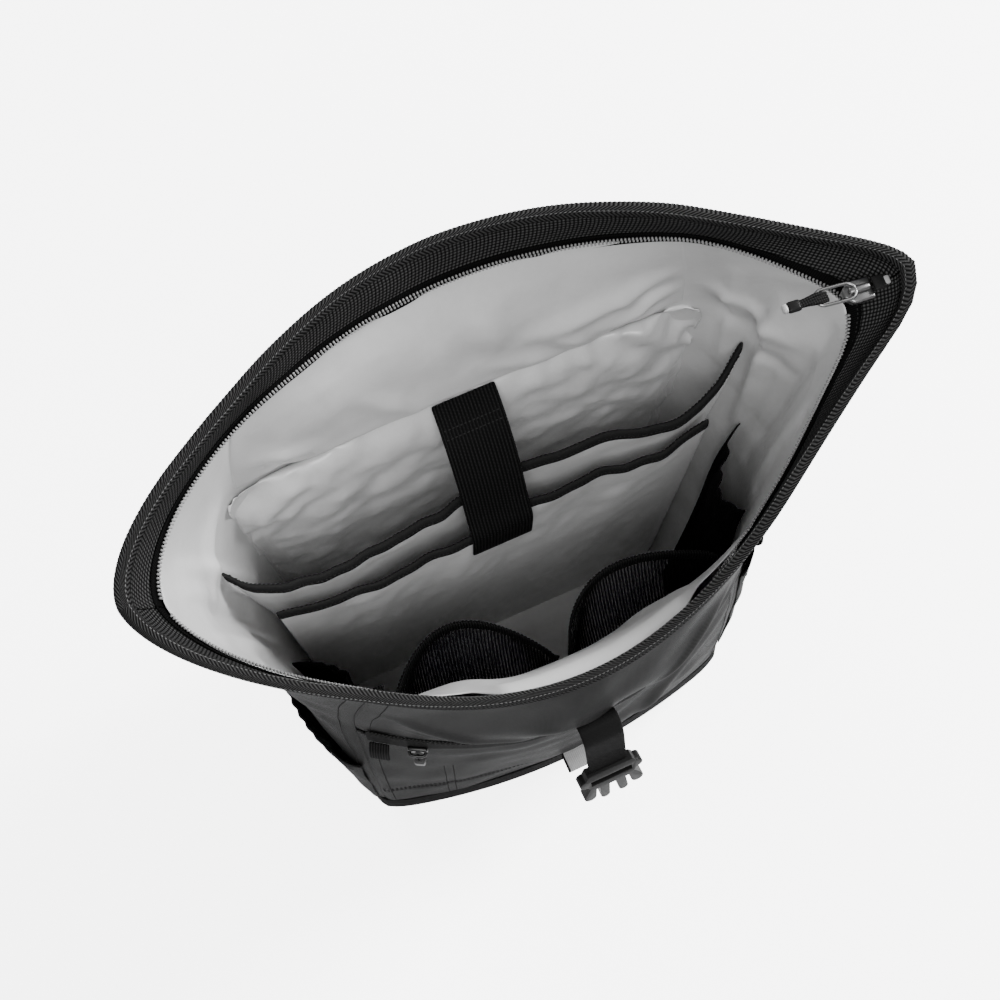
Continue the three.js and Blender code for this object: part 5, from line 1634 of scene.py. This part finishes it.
@dataclass
class InnerPockets:
    """The mesh organiser, the stretch pockets and the small loop."""

    mesh_top: float = 304.0
    mesh_foot: float = 150.0
    stretch_bulge: float = 24.0

    def mesh_surface(self, start: float, end: float, bulge: float, skew: float) -> Surface:
        """The open front of one mesh pocket."""

        def at(u: Array, v: Array) -> Array:
            """Points of the mesh."""
            place = Panel.FRONT + lerp(start, end, u)
            z = lerp(self.mesh_foot, self.mesh_top, v)
            level = WALL.level_at(place, z)
            opened = bulge * hump(u**skew) ** 0.8 * lerp(0.1, 1.0, clamp(v) ** 0.8)
            spot = WALL.lining(place, level, 6.2)
            spot[:, 1] += opened
            spot[:, 2] = z
            return spot

        return at

    def build(self) -> None:
        """Builds every pocket inside."""
        for name, start, end, bulge, skew in (
            ("mesh_pocket_left", 0.09, 0.48, 40.0, 1.0),
            ("mesh_pocket_right", 0.52, 0.94, 34.0, 0.75),
        ):
            self.build_mesh(name, start, end, bulge, skew)
        for name, panel, top, start, end in (
            ("stretch_pocket_right", Panel.RIGHT, 312.0, 0.10, 0.54),
            ("stretch_pocket_left", Panel.LEFT, 262.0, 0.57, 0.90),
        ):
            self.build_stretch(name, panel, top, start, end)
        self.build_loop()

    def build_mesh(self, name: str, start: float, end: float, bulge: float, skew: float) -> None:
        """Builds one mesh pocket and its taped mouth."""
        at = self.mesh_surface(start, end, bulge, skew)
        piece = sew_sheet(f"net_{name}", 48, 40, at, (0, 1, 0)).thicken(0.8, 0.0)
        piece.dress(MESH, name).cloth("hung", "lining_front")

        def tape(u: Array, v: Array) -> Array:
            """Points of the tape folded over the pocket's mouth."""
            spot = at(u, np.ones(u.shape))
            angle = v * np.pi
            spot[:, 1] += -1.7 * np.cos(angle)
            spot[:, 2] += -5 + 13 * np.sin(angle) ** 0.4
            return spot

        edge = sew_sheet(f"tape_{name}", 90, 10, tape, (0, 0, 1)).thicken(0.9)
        edge.smooth().dress(FINE_WEBBING, f"{name}_binding")
        line, up = surface_line(tape, np.linspace(0.01, 0.99, 300), 0.8, 0.15)
        stitch_row(f"tape_stitch_{name}", line, up, 2.4, THREAD_DARK, 0.9)

    def build_stretch(self, name: str, panel: Panel, top: float, start: float, end: float) -> None:
        """Builds one knitted side pocket with soft upright pleats.

        Args:
            name: The solid that it stands for.
            panel: Which side it hangs on.
            top: Height of its mouth.
            start: Where it starts along the side.
            end: Where it ends.
        """

        def at(u: Array, v: Array) -> Array:
            """Points of the pocket's face."""
            place = panel + lerp(start, end, u)
            z = lerp(13.0, top, v)
            opened = self.stretch_bulge * hump(u) ** 0.7 * lerp(0.15, 1.0, v)
            pleat = 1.5 * np.sin(u * 34 + 2 * ripple(np.stack([u * 60, z], -1), 60, 91)) * v
            level = WALL.level_at(place, z)
            crease = WALL.creases(LINING_CREASES, place, level)
            spot = WALL.lining(place, level, 6.4)
            return spot + WALL.inward(place) * (opened + crease + pleat * hump(u))[:, None]

        facing = (-1, 0, 0) if panel is Panel.RIGHT else (1, 0, 0)
        piece = sew_sheet(f"knit_{name}", 48, 60, at, facing).thicken(1.0).smooth()
        piece.dress(STRETCH, name).cloth("hung", "lining_right" if panel is Panel.RIGHT else "lining_left")

    def build_loop(self) -> None:
        """Builds the small webbing loop on the inner front wall."""
        low, high = solid_corners("inner_loop")
        x, z = (low.x + high.x) / 2, self.mesh_top + 12
        y = low.y + 0.8
        path = [(x, y, z + 10), (x, y + 7, z + 6), (x, y + 11, z - 4), (x, y + 9, z - 16), (x, y + 2, z - 24)]
        ribbon("zip_tape_loop", path, (1, 0, 0), 8, 1.4, 24, 4).dress(FINE_WEBBING, "inner_loop")


# Pockets outside


@dataclass
class BottlePocket:
    """A side pocket with an elastic mouth."""

    name: str
    panel: Panel
    top: float
    from_front: float
    bulge: float = 7.5
    foot: float = 62.0
    elastic: float = 9.0

    def surface(self) -> Surface:
        """The pocket's outer face."""
        right = self.panel is Panel.RIGHT
        start, end = (0.02, 0.92) if right else (0.08, 0.98)

        def at(u: Array, v: Array) -> Array:
            """Points of the pocket."""
            front = u if right else 1 - u
            z = lerp(self.foot, self.top, v) + v * self.from_front * (front - 0.3)
            opened = self.bulge * hump(front**0.65) ** 0.65 * lerp(0.25, 1.0, clamp(v) ** 0.7)
            place = self.panel + lerp(start, end, u)
            spot = WALL.point(place, z / WALL.body_height)
            gather = 0.7 * np.sin(u * 90) * clamp((v - 0.8) * 5)
            soft = 0.9 * ripple(spot, 34, 101 + self.panel) * hump(v) + gather * hump(u)
            return spot - WALL.inward(place) * (0.7 + 1.2 + opened + soft)[:, None]

        return at

    def build(self) -> None:
        """Builds the pocket and its elastic."""
        at = self.surface()
        facing = (1, 0, 0) if self.panel is Panel.RIGHT else (-1, 0, 0)
        piece = sew_sheet(f"cloth_{self.name}", 52, 40, at, facing).thicken(1.2)
        piece.smooth().dress(COATED, self.name).cloth("stretched", "base_tub")

        def hem(u: Array, v: Array) -> Array:
            """Points of the elastic folded over the pocket's mouth."""
            spot = at(u, np.ones(u.shape))
            angle = v * np.pi
            out = -WALL.inward(self.panel + 0.5)
            spot[:, 2] += -1.5 + (self.elastic + 1.5) * np.sin(angle) ** 0.35
            return spot + out * (-0.6 - 1.1 * np.cos(angle))[:, None]

        edge = sew_sheet(f"hem_{self.name}", 90, 10, hem, (0, 0, 1)).thicken(0.8)
        edge.smooth().dress(FINE_WEBBING, f"{self.name}_elastic")
        for name, row in (("upper", 0.955), ("lower", 0.935)):
            line, up = surface_line(at, np.linspace(0.02, 0.98, 300), row, 0.2, np.array(facing))
            stitch_row(f"{self.name}_stitch_{name}", line, up, 2.8, THREAD_DARK)


# Front zip, closure and tabs


@dataclass
class FrontZip:
    """The front pocket's zip under its flap, with slider, pull and elastic tab."""

    zip_height: float = 280.0
    flap_height: float = 17.0
    coil_pitch: float = 1.6

    def build(self) -> None:
        """Builds the flap, the coil, the slider and the pull."""
        self.build_coil()
        self.build_flap()
        self.build_slider()
        self.build_tab()

    def build_coil(self) -> None:
        """Lays the coil in its slot."""
        piece = sew_sheet("front_coil_tape", 96, 4, self.coil_point, (0, -1, 0)).thicken(1.2)
        piece.dress(ZIP_TAPE, "front_zip_chain")
        line, _ = surface_line(self.coil_point, np.linspace(0.01, 0.99, 600), 0.5, -0.3)
        run = run_along(line)
        want = np.arange(1, run[-1], self.coil_pitch)
        spots = read_along(line, run, want)
        ahead = read_along(line, run, want + 0.8) - spots + 1e-6
        ups = np.tile(np.array([[0.0, -1.0, 0.0]]), (len(want), 1))
        repeat("front_coil", stitch_unit(1.2, 4.0, 1.2), spots, ahead, ups).dress(COIL)

    def coil_point(self, u: Array, v: Array) -> Array:
        """Points of the coil's tape."""
        spot = WALL.point(0.02 + u * 0.96, 1.0, -0.2)
        spot[:, 2] = self.zip_height + (v - 0.5) * 5.6
        return spot

    def flap_surface(self, u: Array, v: Array) -> Array:
        """Points of the flap's outer face, from its root to its free lower edge."""
        place = 0.02 + u * 0.96
        z = lerp(self.zip_height + self.flap_height * 0.65, self.zip_height - self.flap_height * 0.35, v)
        z = z - 1.0 * np.sin(u * 9) * v
        level = WALL.level_at(place, z)
        stand = np.interp(v, [0, 0.15, 0.65, 1], [1.9, 2.2, 3.1, 3.6])
        rise = WALL.folds(SHELL_FOLDS, place, level) + WALL.creases(SHELL_CREASES, place, level) * 0.8
        spot = WALL.point(place, level)
        spot = spot - WALL.inward(place) * (stand + rise + 0.5 * ripple(spot, 40, 111) * v)[:, None]
        spot[:, 2] = z
        return spot

    def build_flap(self) -> None:
        """Builds the ribbed flap and its topstitch."""
        piece = sew_sheet("ribbed_storm_flap", 96, 10, self.flap_surface, (0, -1, 0)).thicken(1.2)
        piece.smooth().dress(RIB_CLOTH, "storm_flap").cloth("hung", "front_collar_panel")
        out = np.array([0, -1, 0])
        line, up = surface_line(self.flap_surface, np.linspace(0.01, 0.99, 400), 0.14, 0.2, out)
        stitch_row("flap_stitch", line, up, 3.0, THREAD_DARK)

    def build_slider(self) -> None:
        """Builds the slider with its bridge, the cord and its tip."""
        low, high = solid_corners("front_zip_slider")
        out = Vector(WALL.outward(0.13, 0.97))
        centre = (low + high) / 2 + out * 2.0 + Vector((0, 0, 4.0))
        side = Vector((-out.y, out.x, 0))
        turn = standing(centre, side, out, Vector((0, 0, 1)))
        plate = rounded_block("front_slider_body", (-6, -2.2, -4.4), (6, 0.8, 4.4), 1.1, turn)
        plate.dress(DARK_METAL, "front_zip_slider")
        rise = ((-5, 0.4, 0), (-4.2, 2.6, 0), (0, 3.2, 0), (4.2, 2.6, 0), (5, 0.4, 0))
        tube("front_slider_bridge", [turn @ Vector(p) for p in rise], 1.1, 14).dress(DARK_METAL)
        low, high = solid_corners("front_zip_pull")
        top = Vector(((low.x + high.x) / 2, (low.y + high.y) / 2, high.z))
        foot = solid_corners("front_zip_pull_tip")[1].z
        for name, sway in (("left", -1.5), ("right", 1.5)):
            path = [
                top, top + side * sway + Vector((0, 0, -6)), top + side * sway * 0.9 + Vector((0, 0, -13)),
                Vector((top.x, top.y, foot - 2)) + side * sway * 0.4,
            ]
            piece = tube(f"front_pull_cord_{name}", path, 1.15, 16)
            piece.dress(CORD, *(["front_zip_pull"] if name == "left" else []))
        low, high = solid_corners("front_zip_pull_tip")
        centre = (low + high) / 2
        turn = standing(centre, side, out, Vector((0, 0, 1)))
        cap = rounded_block("front_pull_cap", (-3.4, -2.4, -6), (3.4, 2.4, 6), 1.4, turn)
        cap.dress(DARK_CAP, "front_zip_pull_tip")

    def build_tab(self) -> None:
        """Builds the ribbed elastic tab beside the front seam."""
        low, high = solid_corners("elastic_tab")
        out = WALL.outward(0.055, 0.95)
        across = (-out[1], out[0], 0)
        middle = np.array([(low.x + high.x) / 2, (low.y + high.y) / 2, 0])
        heights = (high.z + 9, high.z + 2, (high.z + low.z) / 2, low.z - 1)
        path = [middle + out * reach + [0, 0, z] for reach, z in zip((0.8, 4.4, 6.2, 7.2), heights)]
        ribbon("ribbed_elastic_tab", path, across, 12.5, 1.4, 16, 6).dress(FINE_WEBBING, "elastic_tab")


@dataclass
class Closure:
    """The closure strap with its buckle half, and the keeper tab below."""

    width: float = 25.0
    wall: float = 1.6
    root_height: float = 311.0
    keeper_width: float = 22.0

    def build(self) -> None:
        """Builds strap, buckle and keeper."""
        y, z = solid_corners("closure_strap")[1].y - self.wall, self.root_height
        path = [
            (0, y, z - 4), (0, y - 1.5, z + 3), (0, y - 6, z + 6), (0, y - 13, z + 1), (0, y - 18, z - 12),
            (0, y - 21.5, z - 25), (0, y - 26, z - 36),
        ]
        strap = ribbon("closure_webbing", path, (1, 0, 0), self.width, self.wall, 40, 10)
        strap.dress(CLOSURE_WEBBING, "closure_strap")
        self.build_buckle()
        self.build_keeper()

    def build_buckle(self) -> None:
        """Takes the buckle half's outline from its solid and rounds its edges."""
        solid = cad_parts["closure_buckle"]
        bm = bmesh.new()
        bm.from_mesh(solid.data)
        bmesh.ops.remove_doubles(bm, verts=bm.verts[:], dist=0.01 * MM)
        bmesh.ops.dissolve_limit(bm, angle_limit=math.radians(2), verts=bm.verts[:], edges=bm.edges[:])
        sharp = [e for e in bm.edges if len(e.link_faces) == 2 and e.calc_face_angle() > math.radians(50)]
        bmesh.ops.bevel(
            bm, geom=sharp, offset=1.4 * MM, segments=3, profile=0.5, affect="EDGES", material=-1,
            clamp_overlap=True,
        )
        Piece(make_object("buckle_half", bm)).dress(PLASTIC, "closure_buckle")

    def build_keeper(self) -> None:
        """Builds the light tab with its dark edges."""
        low, high = solid_corners("keeper_tab")
        out = WALL.outward(0.515, 92 / WALL.body_height)
        across = (-out[1], out[0], 0)
        x, y = (low.x + high.x) / 2, high.y - 1.6
        root = np.array([x, y, 0.0])
        steps = ((0, 101), (0.4, 95), (7.7, 93.6), (14, 92.8))
        path = [root + out * reach + [0, 0, z] for reach, z in steps]
        ribbon("keeper_tape", path, across, self.keeper_width, 1.6, 20, 8).dress(GREY_TAPE, "keeper_tab")
        for name, side in (("left", -1), ("right", 1)):
            edge = [p + np.array(across) * side * (self.keeper_width / 2 - 0.3) for p in path]
            ribbon(f"keeper_edge_{name}", edge, across, 1.8, 2.2, 16, 2).dress(FINE_WEBBING)


@dataclass
class MouthHardware:
    """The mouth zip's slider, ring, cord and end tab."""

    slider_x: float = 178.5
    ring_radius: float = 4.1
    ring_straight: float = 6.2
    ring_wire: float = 0.85

    def frame(self) -> Matrix:
        """Where the slider lies: x along the closed way of the zip, z up."""
        z = float(WALL.rim(np.array(1.5))) - 13
        along = Vector((-1, 0.12, 0)).normalized()
        across = Vector((0.12, 1, 0)).normalized()
        return standing((self.slider_x, 6, z), along, -across, Vector((0, 0, 1)))

    def build(self) -> None:
        """Builds the slider and what hangs on it."""
        turn = self.frame()
        bm = bmesh.new()
        bmesh.ops.create_cube(bm, size=1)
        bmesh.ops.scale(bm, vec=(15, 11.6, 4.2), verts=bm.verts[:])
        ends = [e for e in bm.edges if all(v.co.x > 0 for v in e.verts)]
        nose = [e for e in ends if e.verts[0].co.y == e.verts[1].co.y]
        bmesh.ops.bevel(bm, geom=nose, offset=3.8, segments=1, profile=0.5, affect="EDGES", material=-1)
        edges = bm.edges[:]
        bmesh.ops.bevel(bm, geom=edges, offset=1.0, segments=3, profile=0.5, affect="EDGES", material=-1)
        bmesh.ops.translate(bm, vec=(0.5, 0, -0.4), verts=bm.verts[:])
        bmesh.ops.transform(bm, matrix=Matrix.Scale(MM, 4) @ turn, verts=bm.verts[:])
        Piece(make_object("mouth_slider_body", bm)).dress(METAL, "mouth_zip_slider")
        rounded_block("mouth_slider_bridge", (-5.5, -1.8, 1.2), (5.5, 1.8, 4.4), 1.3, turn).dress(METAL)
        low, high = solid_corners("mouth_zip_ring")
        ring_z = (low.z + high.z) / 2 - turn.translation.z
        path = []
        for k in range(33):
            angle = 2 * math.pi * k / 32
            x = 12.5 + (self.ring_straight if math.cos(angle) >= 0 else -self.ring_straight)
            x = x + self.ring_radius * math.cos(angle)
            path.append(turn @ Vector((x, self.ring_radius * math.sin(angle), ring_z + 0.06 * (x - 9))))
        tube("mouth_pull_ring", path, self.ring_wire, 96).dress(METAL, "mouth_zip_ring")
        for name, side in (("a", -1.4), ("b", 0.2), ("c", 1.6)):
            knots = ((17, 1.0, 1.0), (22, 1.3, 1.9), (27, 0.8, 1.4), (32, 0.5, 0.6))
            cord = [turn @ Vector((x, side * spread, ring_z + rise)) for x, spread, rise in knots]
            stands_for = ["mouth_zip_cord"] if name == "a" else []
            tube(f"mouth_pull_cord_{name}", cord, 1.2, 18).dress(CORD, *stands_for)
        for name, low, high, radius, finish, nodes in (
            ("mouth_pull_end", (30, -2.8, ring_z - 1.4), (37, 2.8, ring_z + 2.0), 1.3, PLASTIC, ()),
            ("mouth_pull_cap", (36.4, -2.4, ring_z - 1.2), (39.4, 2.4, ring_z + 1.8), 1.2, GREY_CAP, ()),
            ("mouth_end_tab", (-13, -3.6, 2.9), (-6.6, 3.6, 4.7), 0.8, PLASTIC, ("mouth_zip_tab",)),
            ("mouth_end_cap", (-15, -2.2, 3.1), (-12.2, 2.2, 5.1), 0.9, GREY_CAP, ()),
        ):
            rounded_block(name, low, high, radius, turn).dress(finish, *nodes)


# The side worn against the back


@dataclass
class BackSide:
    """Back pad, shoulder straps, webbing, adjusters, haul loop and side loop."""

    pad_width: float = 216.0
    pad_foot: float = 70.0
    pad_top: float = 372.0
    pad_thickness: float = 11.0
    strap_width: float = 60.0
    strap_thickness: float = 9.0
    strap_spread: float = 66.0
    webbing_width: float = 25.0
    loop_place: float = 1.17
    loop_height: float = 256.0

    def build(self) -> None:
        """Builds everything on the back."""
        self.build_pad()
        for side, word in ((-1, "left"), (1, "right")):
            self.build_strap(side, word)
        self.build_haul_loop()
        self.build_side_loop()

    def build_pad(self) -> None:
        """Stuffs the back pad, with a channel up its middle and seams across."""
        reach = WALL.body_width / 2 * 0.985
        share = self.pad_width / 2 / reach

        def at(u: Array, v: Array) -> Array:
            """Points of the pad's middle layer."""
            place = Panel.BACK + 0.5 + (u - 0.5) * share
            level = WALL.level_at(place, lerp(self.pad_foot + 1, self.pad_top - 1, v))
            return WALL.point(place, level, 0.0, -4.6)

        piece = sew_sheet("back_cushion", 44, 60, at, (0, 1, 0)).thicken(7.6, 0.0)
        swell(piece, voxel=5.0, pressure=4.0, cap=6.0, way=(0, 1, 0))

        def channels(points: Array, normals: Array) -> Array:
            """Presses the middle channel and the sewn lines into the pad."""
            back = clamp(normals[:, 1] * 2)
            middle = 4.5 * np.exp(-((points[:, 0] / 13) ** 2))
            lines = sum(2.2 * np.exp(-(((points[:, 2] - z) / 3.2) ** 2)) for z in (145, 220, 295))
            moved = points.copy()
            moved[:, 1] -= back * (middle + lines)
            return moved

        carve(piece, channels)
        piece.dress(AIR_MESH, "back_pad")

    def build_strap(self, side: int, word: str) -> None:
        """Builds one shoulder strap with its adjuster and webbing."""
        x, top = side * self.strap_spread, self.pad_top + 12
        seat = WALL.back_face(x * 0.8, top, self.strap_width, 12) + self.strap_thickness / 2 + 0.35
        y = 80 + self.pad_thickness + 12
        path = [
            (x * 0.8, seat, top - 4), (x * 0.82, seat + 0.5, top + 3), (x * 0.88, y, top + 8),
            (x * 0.95, y + 12, top - 22), (x, y + 13, top - 80), (x * 1.15, y + 8, top - 140),
            (x * 1.38, y + 6, top - 198), (x * 1.52, y + 5, top - 244),
        ]
        line = even_path(path, 61)

        def at(u: Array, v: Array) -> Array:
            """Points of the strap's middle layer, narrower at both ends."""
            spot = line[np.round(v * 60).astype(int)].copy()
            spot[:, 0] += (u - 0.5) * (self.strap_width - 3) * (1 - 0.12 * (2 * v - 1) ** 2)
            return spot

        piece = sew_sheet(f"shoulder_cushion_{word}", 12, 60, at, (0, 1, 0))
        piece.thicken(self.strap_thickness - 3, 0.0)
        swell(piece, voxel=5.0, pressure=3.0, cap=2.2)
        piece.dress(AIR_MESH, f"shoulder_strap_{word}")
        end = path[-1]
        low, high = np.array(end) + [-17, -3, -20.6], np.array(end) + [17, 3, -0.6]
        rounded_block(f"adjuster_{word}", low, high, 1.4).dress(PLASTIC, f"strap_adjuster_{word}")
        foot_x, foot_z = side * (WALL.body_width / 2 - self.webbing_width / 2 - 5), WALL.wrap_height - 24
        foot = WALL.back_face(foot_x, foot_z, self.webbing_width, 16) + 0.8 + 0.35
        start = end[2] - 21
        tail = [
            (end[0], end[1], start), (lerp(end[0], foot_x, 0.4), end[1] - 5, start - 32),
            (lerp(end[0], foot_x, 0.85), foot + 3, foot_z + 24),
            (foot_x, foot, foot_z + 6), (foot_x, foot, foot_z - 8),
        ]
        webbing = ribbon(f"webbing_{word}", tail, (1, 0, 0), self.webbing_width, 1.6, 40, 8)
        webbing.dress(CLOSURE_WEBBING, f"strap_webbing_{word}")

    def build_haul_loop(self) -> None:
        """Builds the haul loop between the shoulder straps."""
        low, high = solid_corners("haul_loop")
        half, y = (high.x - low.x) / 2 - 1.5, (low.y + high.y) / 2
        crown = high.z - 1.5
        turns = [math.pi * k / 12 for k in range(13)]
        arc = [(-half * math.cos(a), y, crown - half + half * math.sin(a)) for a in turns]
        path = [(-half, y, low.z), *arc, (half, y, low.z)]
        loop = ribbon("haul_webbing", path, (0, 1, 0), high.y - low.y - 0.4, 3.0, 60, 6)
        loop.dress(CLOSURE_WEBBING, "haul_loop")

    def build_side_loop(self) -> None:
        """Builds the folded webbing loop on the right side."""
        place, z = self.loop_place, self.loop_height
        side = WALL.outward(place, z / WALL.body_height)
        wide = (-side[1], side[0], 0)
        foot = WALL.point(place, z / WALL.body_height) + side * 1.3
        foot = np.array([float(foot[0]), float(foot[1]), z])
        steps = ((0, 14), (3, 9), (7.5, -1), (7.5, -12), (3.2, -14))
        path = [foot + side * reach + [0, 0, rise] for reach, rise in steps]
        ribbon("folded_side_loop", path, wide, 20, 1.5, 36, 8).dress(FINE_WEBBING, "side_loop")


# Studio


@dataclass
class Studio:
    """Pale floor, soft lights and the camera."""

    eye: tuple[float, float, float] = (-95.2, -186.9, 1102.5)
    turn: float = -24.247
    tilt: float = 73.0
    focal: float = 1388.98
    floor_glow: float = 4.5

    def build(self) -> None:
        """Sets up floor, world, lights and camera."""
        bm = bmesh.new()
        bmesh.ops.create_grid(bm, x_segments=2, y_segments=2, size=40)
        floor = make_object("studio_floor", bm)
        floor.data.materials.append(self.floor_finish())
        world = bpy.data.worlds.new("studio")
        world.use_nodes = True
        world.node_tree.nodes["Background"].inputs[0].default_value = (1, 1, 1, 1)
        sky = Graph(world.node_tree)
        seen = sky.add("ShaderNodeLightPath").outputs["Is Camera Ray"]
        sky.feed(world.node_tree.nodes["Background"].inputs[1], sky.math("MULTIPLY_ADD", seen, 4.0, 0.5))
        bpy.context.scene.world = world
        turn, tilt = math.radians(self.turn), math.radians(self.tilt)
        ahead = Vector((-math.sin(turn) * math.cos(tilt), math.cos(turn) * math.cos(tilt), -math.sin(tilt)))
        right = Vector((math.cos(turn), math.sin(turn), 0))
        up = right.cross(ahead)
        camera = bpy.data.objects.new("camera", bpy.data.cameras.new("camera"))
        bpy.context.scene.collection.objects.link(camera)
        camera.data.sensor_width = 36
        camera.data.lens = self.focal / 1000 * 36
        camera.data.clip_start, camera.data.clip_end = 0.02, 20
        camera.matrix_world = standing(Vector(self.eye) * MM, right, up, -ahead)
        bpy.context.scene.camera = camera
        self.light("key", Vector((1.7, 0.3, 1.5)), 0.6, 105)
        self.light("fill", Vector((-0.3, -0.8, 2.2)), 1.0, 44)
        self.light("behind", Vector((-0.9, 2.6, 1.3)), 1.4, 60)

    def light(self, name: str, place: Vector, size: float, power: float) -> None:
        """Adds one square soft light that faces the pack."""
        lamp = bpy.data.lights.new(name, "AREA")
        lamp.size = size
        lamp.energy = power
        made = bpy.data.objects.new(name, lamp)
        made.location = place
        made.rotation_euler = (Vector((0, 0, 0.3)) - place).to_track_quat("-Z", "Y").to_euler()
        bpy.context.scene.collection.objects.link(made)

    def floor_finish(self) -> bpy.types.Material:
        """The plain pale floor."""
        material = bpy.data.materials.new("studio_floor")
        material.use_nodes = True
        shader = material.node_tree.nodes["Principled BSDF"]
        shader.inputs["Base Color"].default_value = (0.93, 0.93, 0.94, 1)
        shader.inputs["Roughness"].default_value = 0.9
        shader.inputs["Emission Color"].default_value = (1, 1, 1, 1)
        graph = Graph(material.node_tree)
        seen = graph.add("ShaderNodeLightPath").outputs["Is Camera Ray"]
        graph.feed(shader.inputs["Emission Strength"], graph.math("MULTIPLY", seen, self.floor_glow))
        return material


def main() -> None:
    """Builds the backpack from the outside in, and reports each piece."""
    logging.basicConfig(level=logging.INFO, format="%(name)s %(message)s")
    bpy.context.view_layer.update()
    Studio().build()
    Shell().build()
    Mouth().build()
    MouthHardware().build()
    Lining().build()
    Sleeves().build()
    InnerPockets().build()
    BottlePocket("bottle_pocket_left", Panel.LEFT, top=188.0, from_front=14.0).build()
    BottlePocket("bottle_pocket_right", Panel.RIGHT, top=226.0, from_front=6.0).build()
    FrontZip().build()
    Closure().build()
    BackSide().build()
    bpy.context.view_layer.update()


if __name__ == "__main__":
    main()
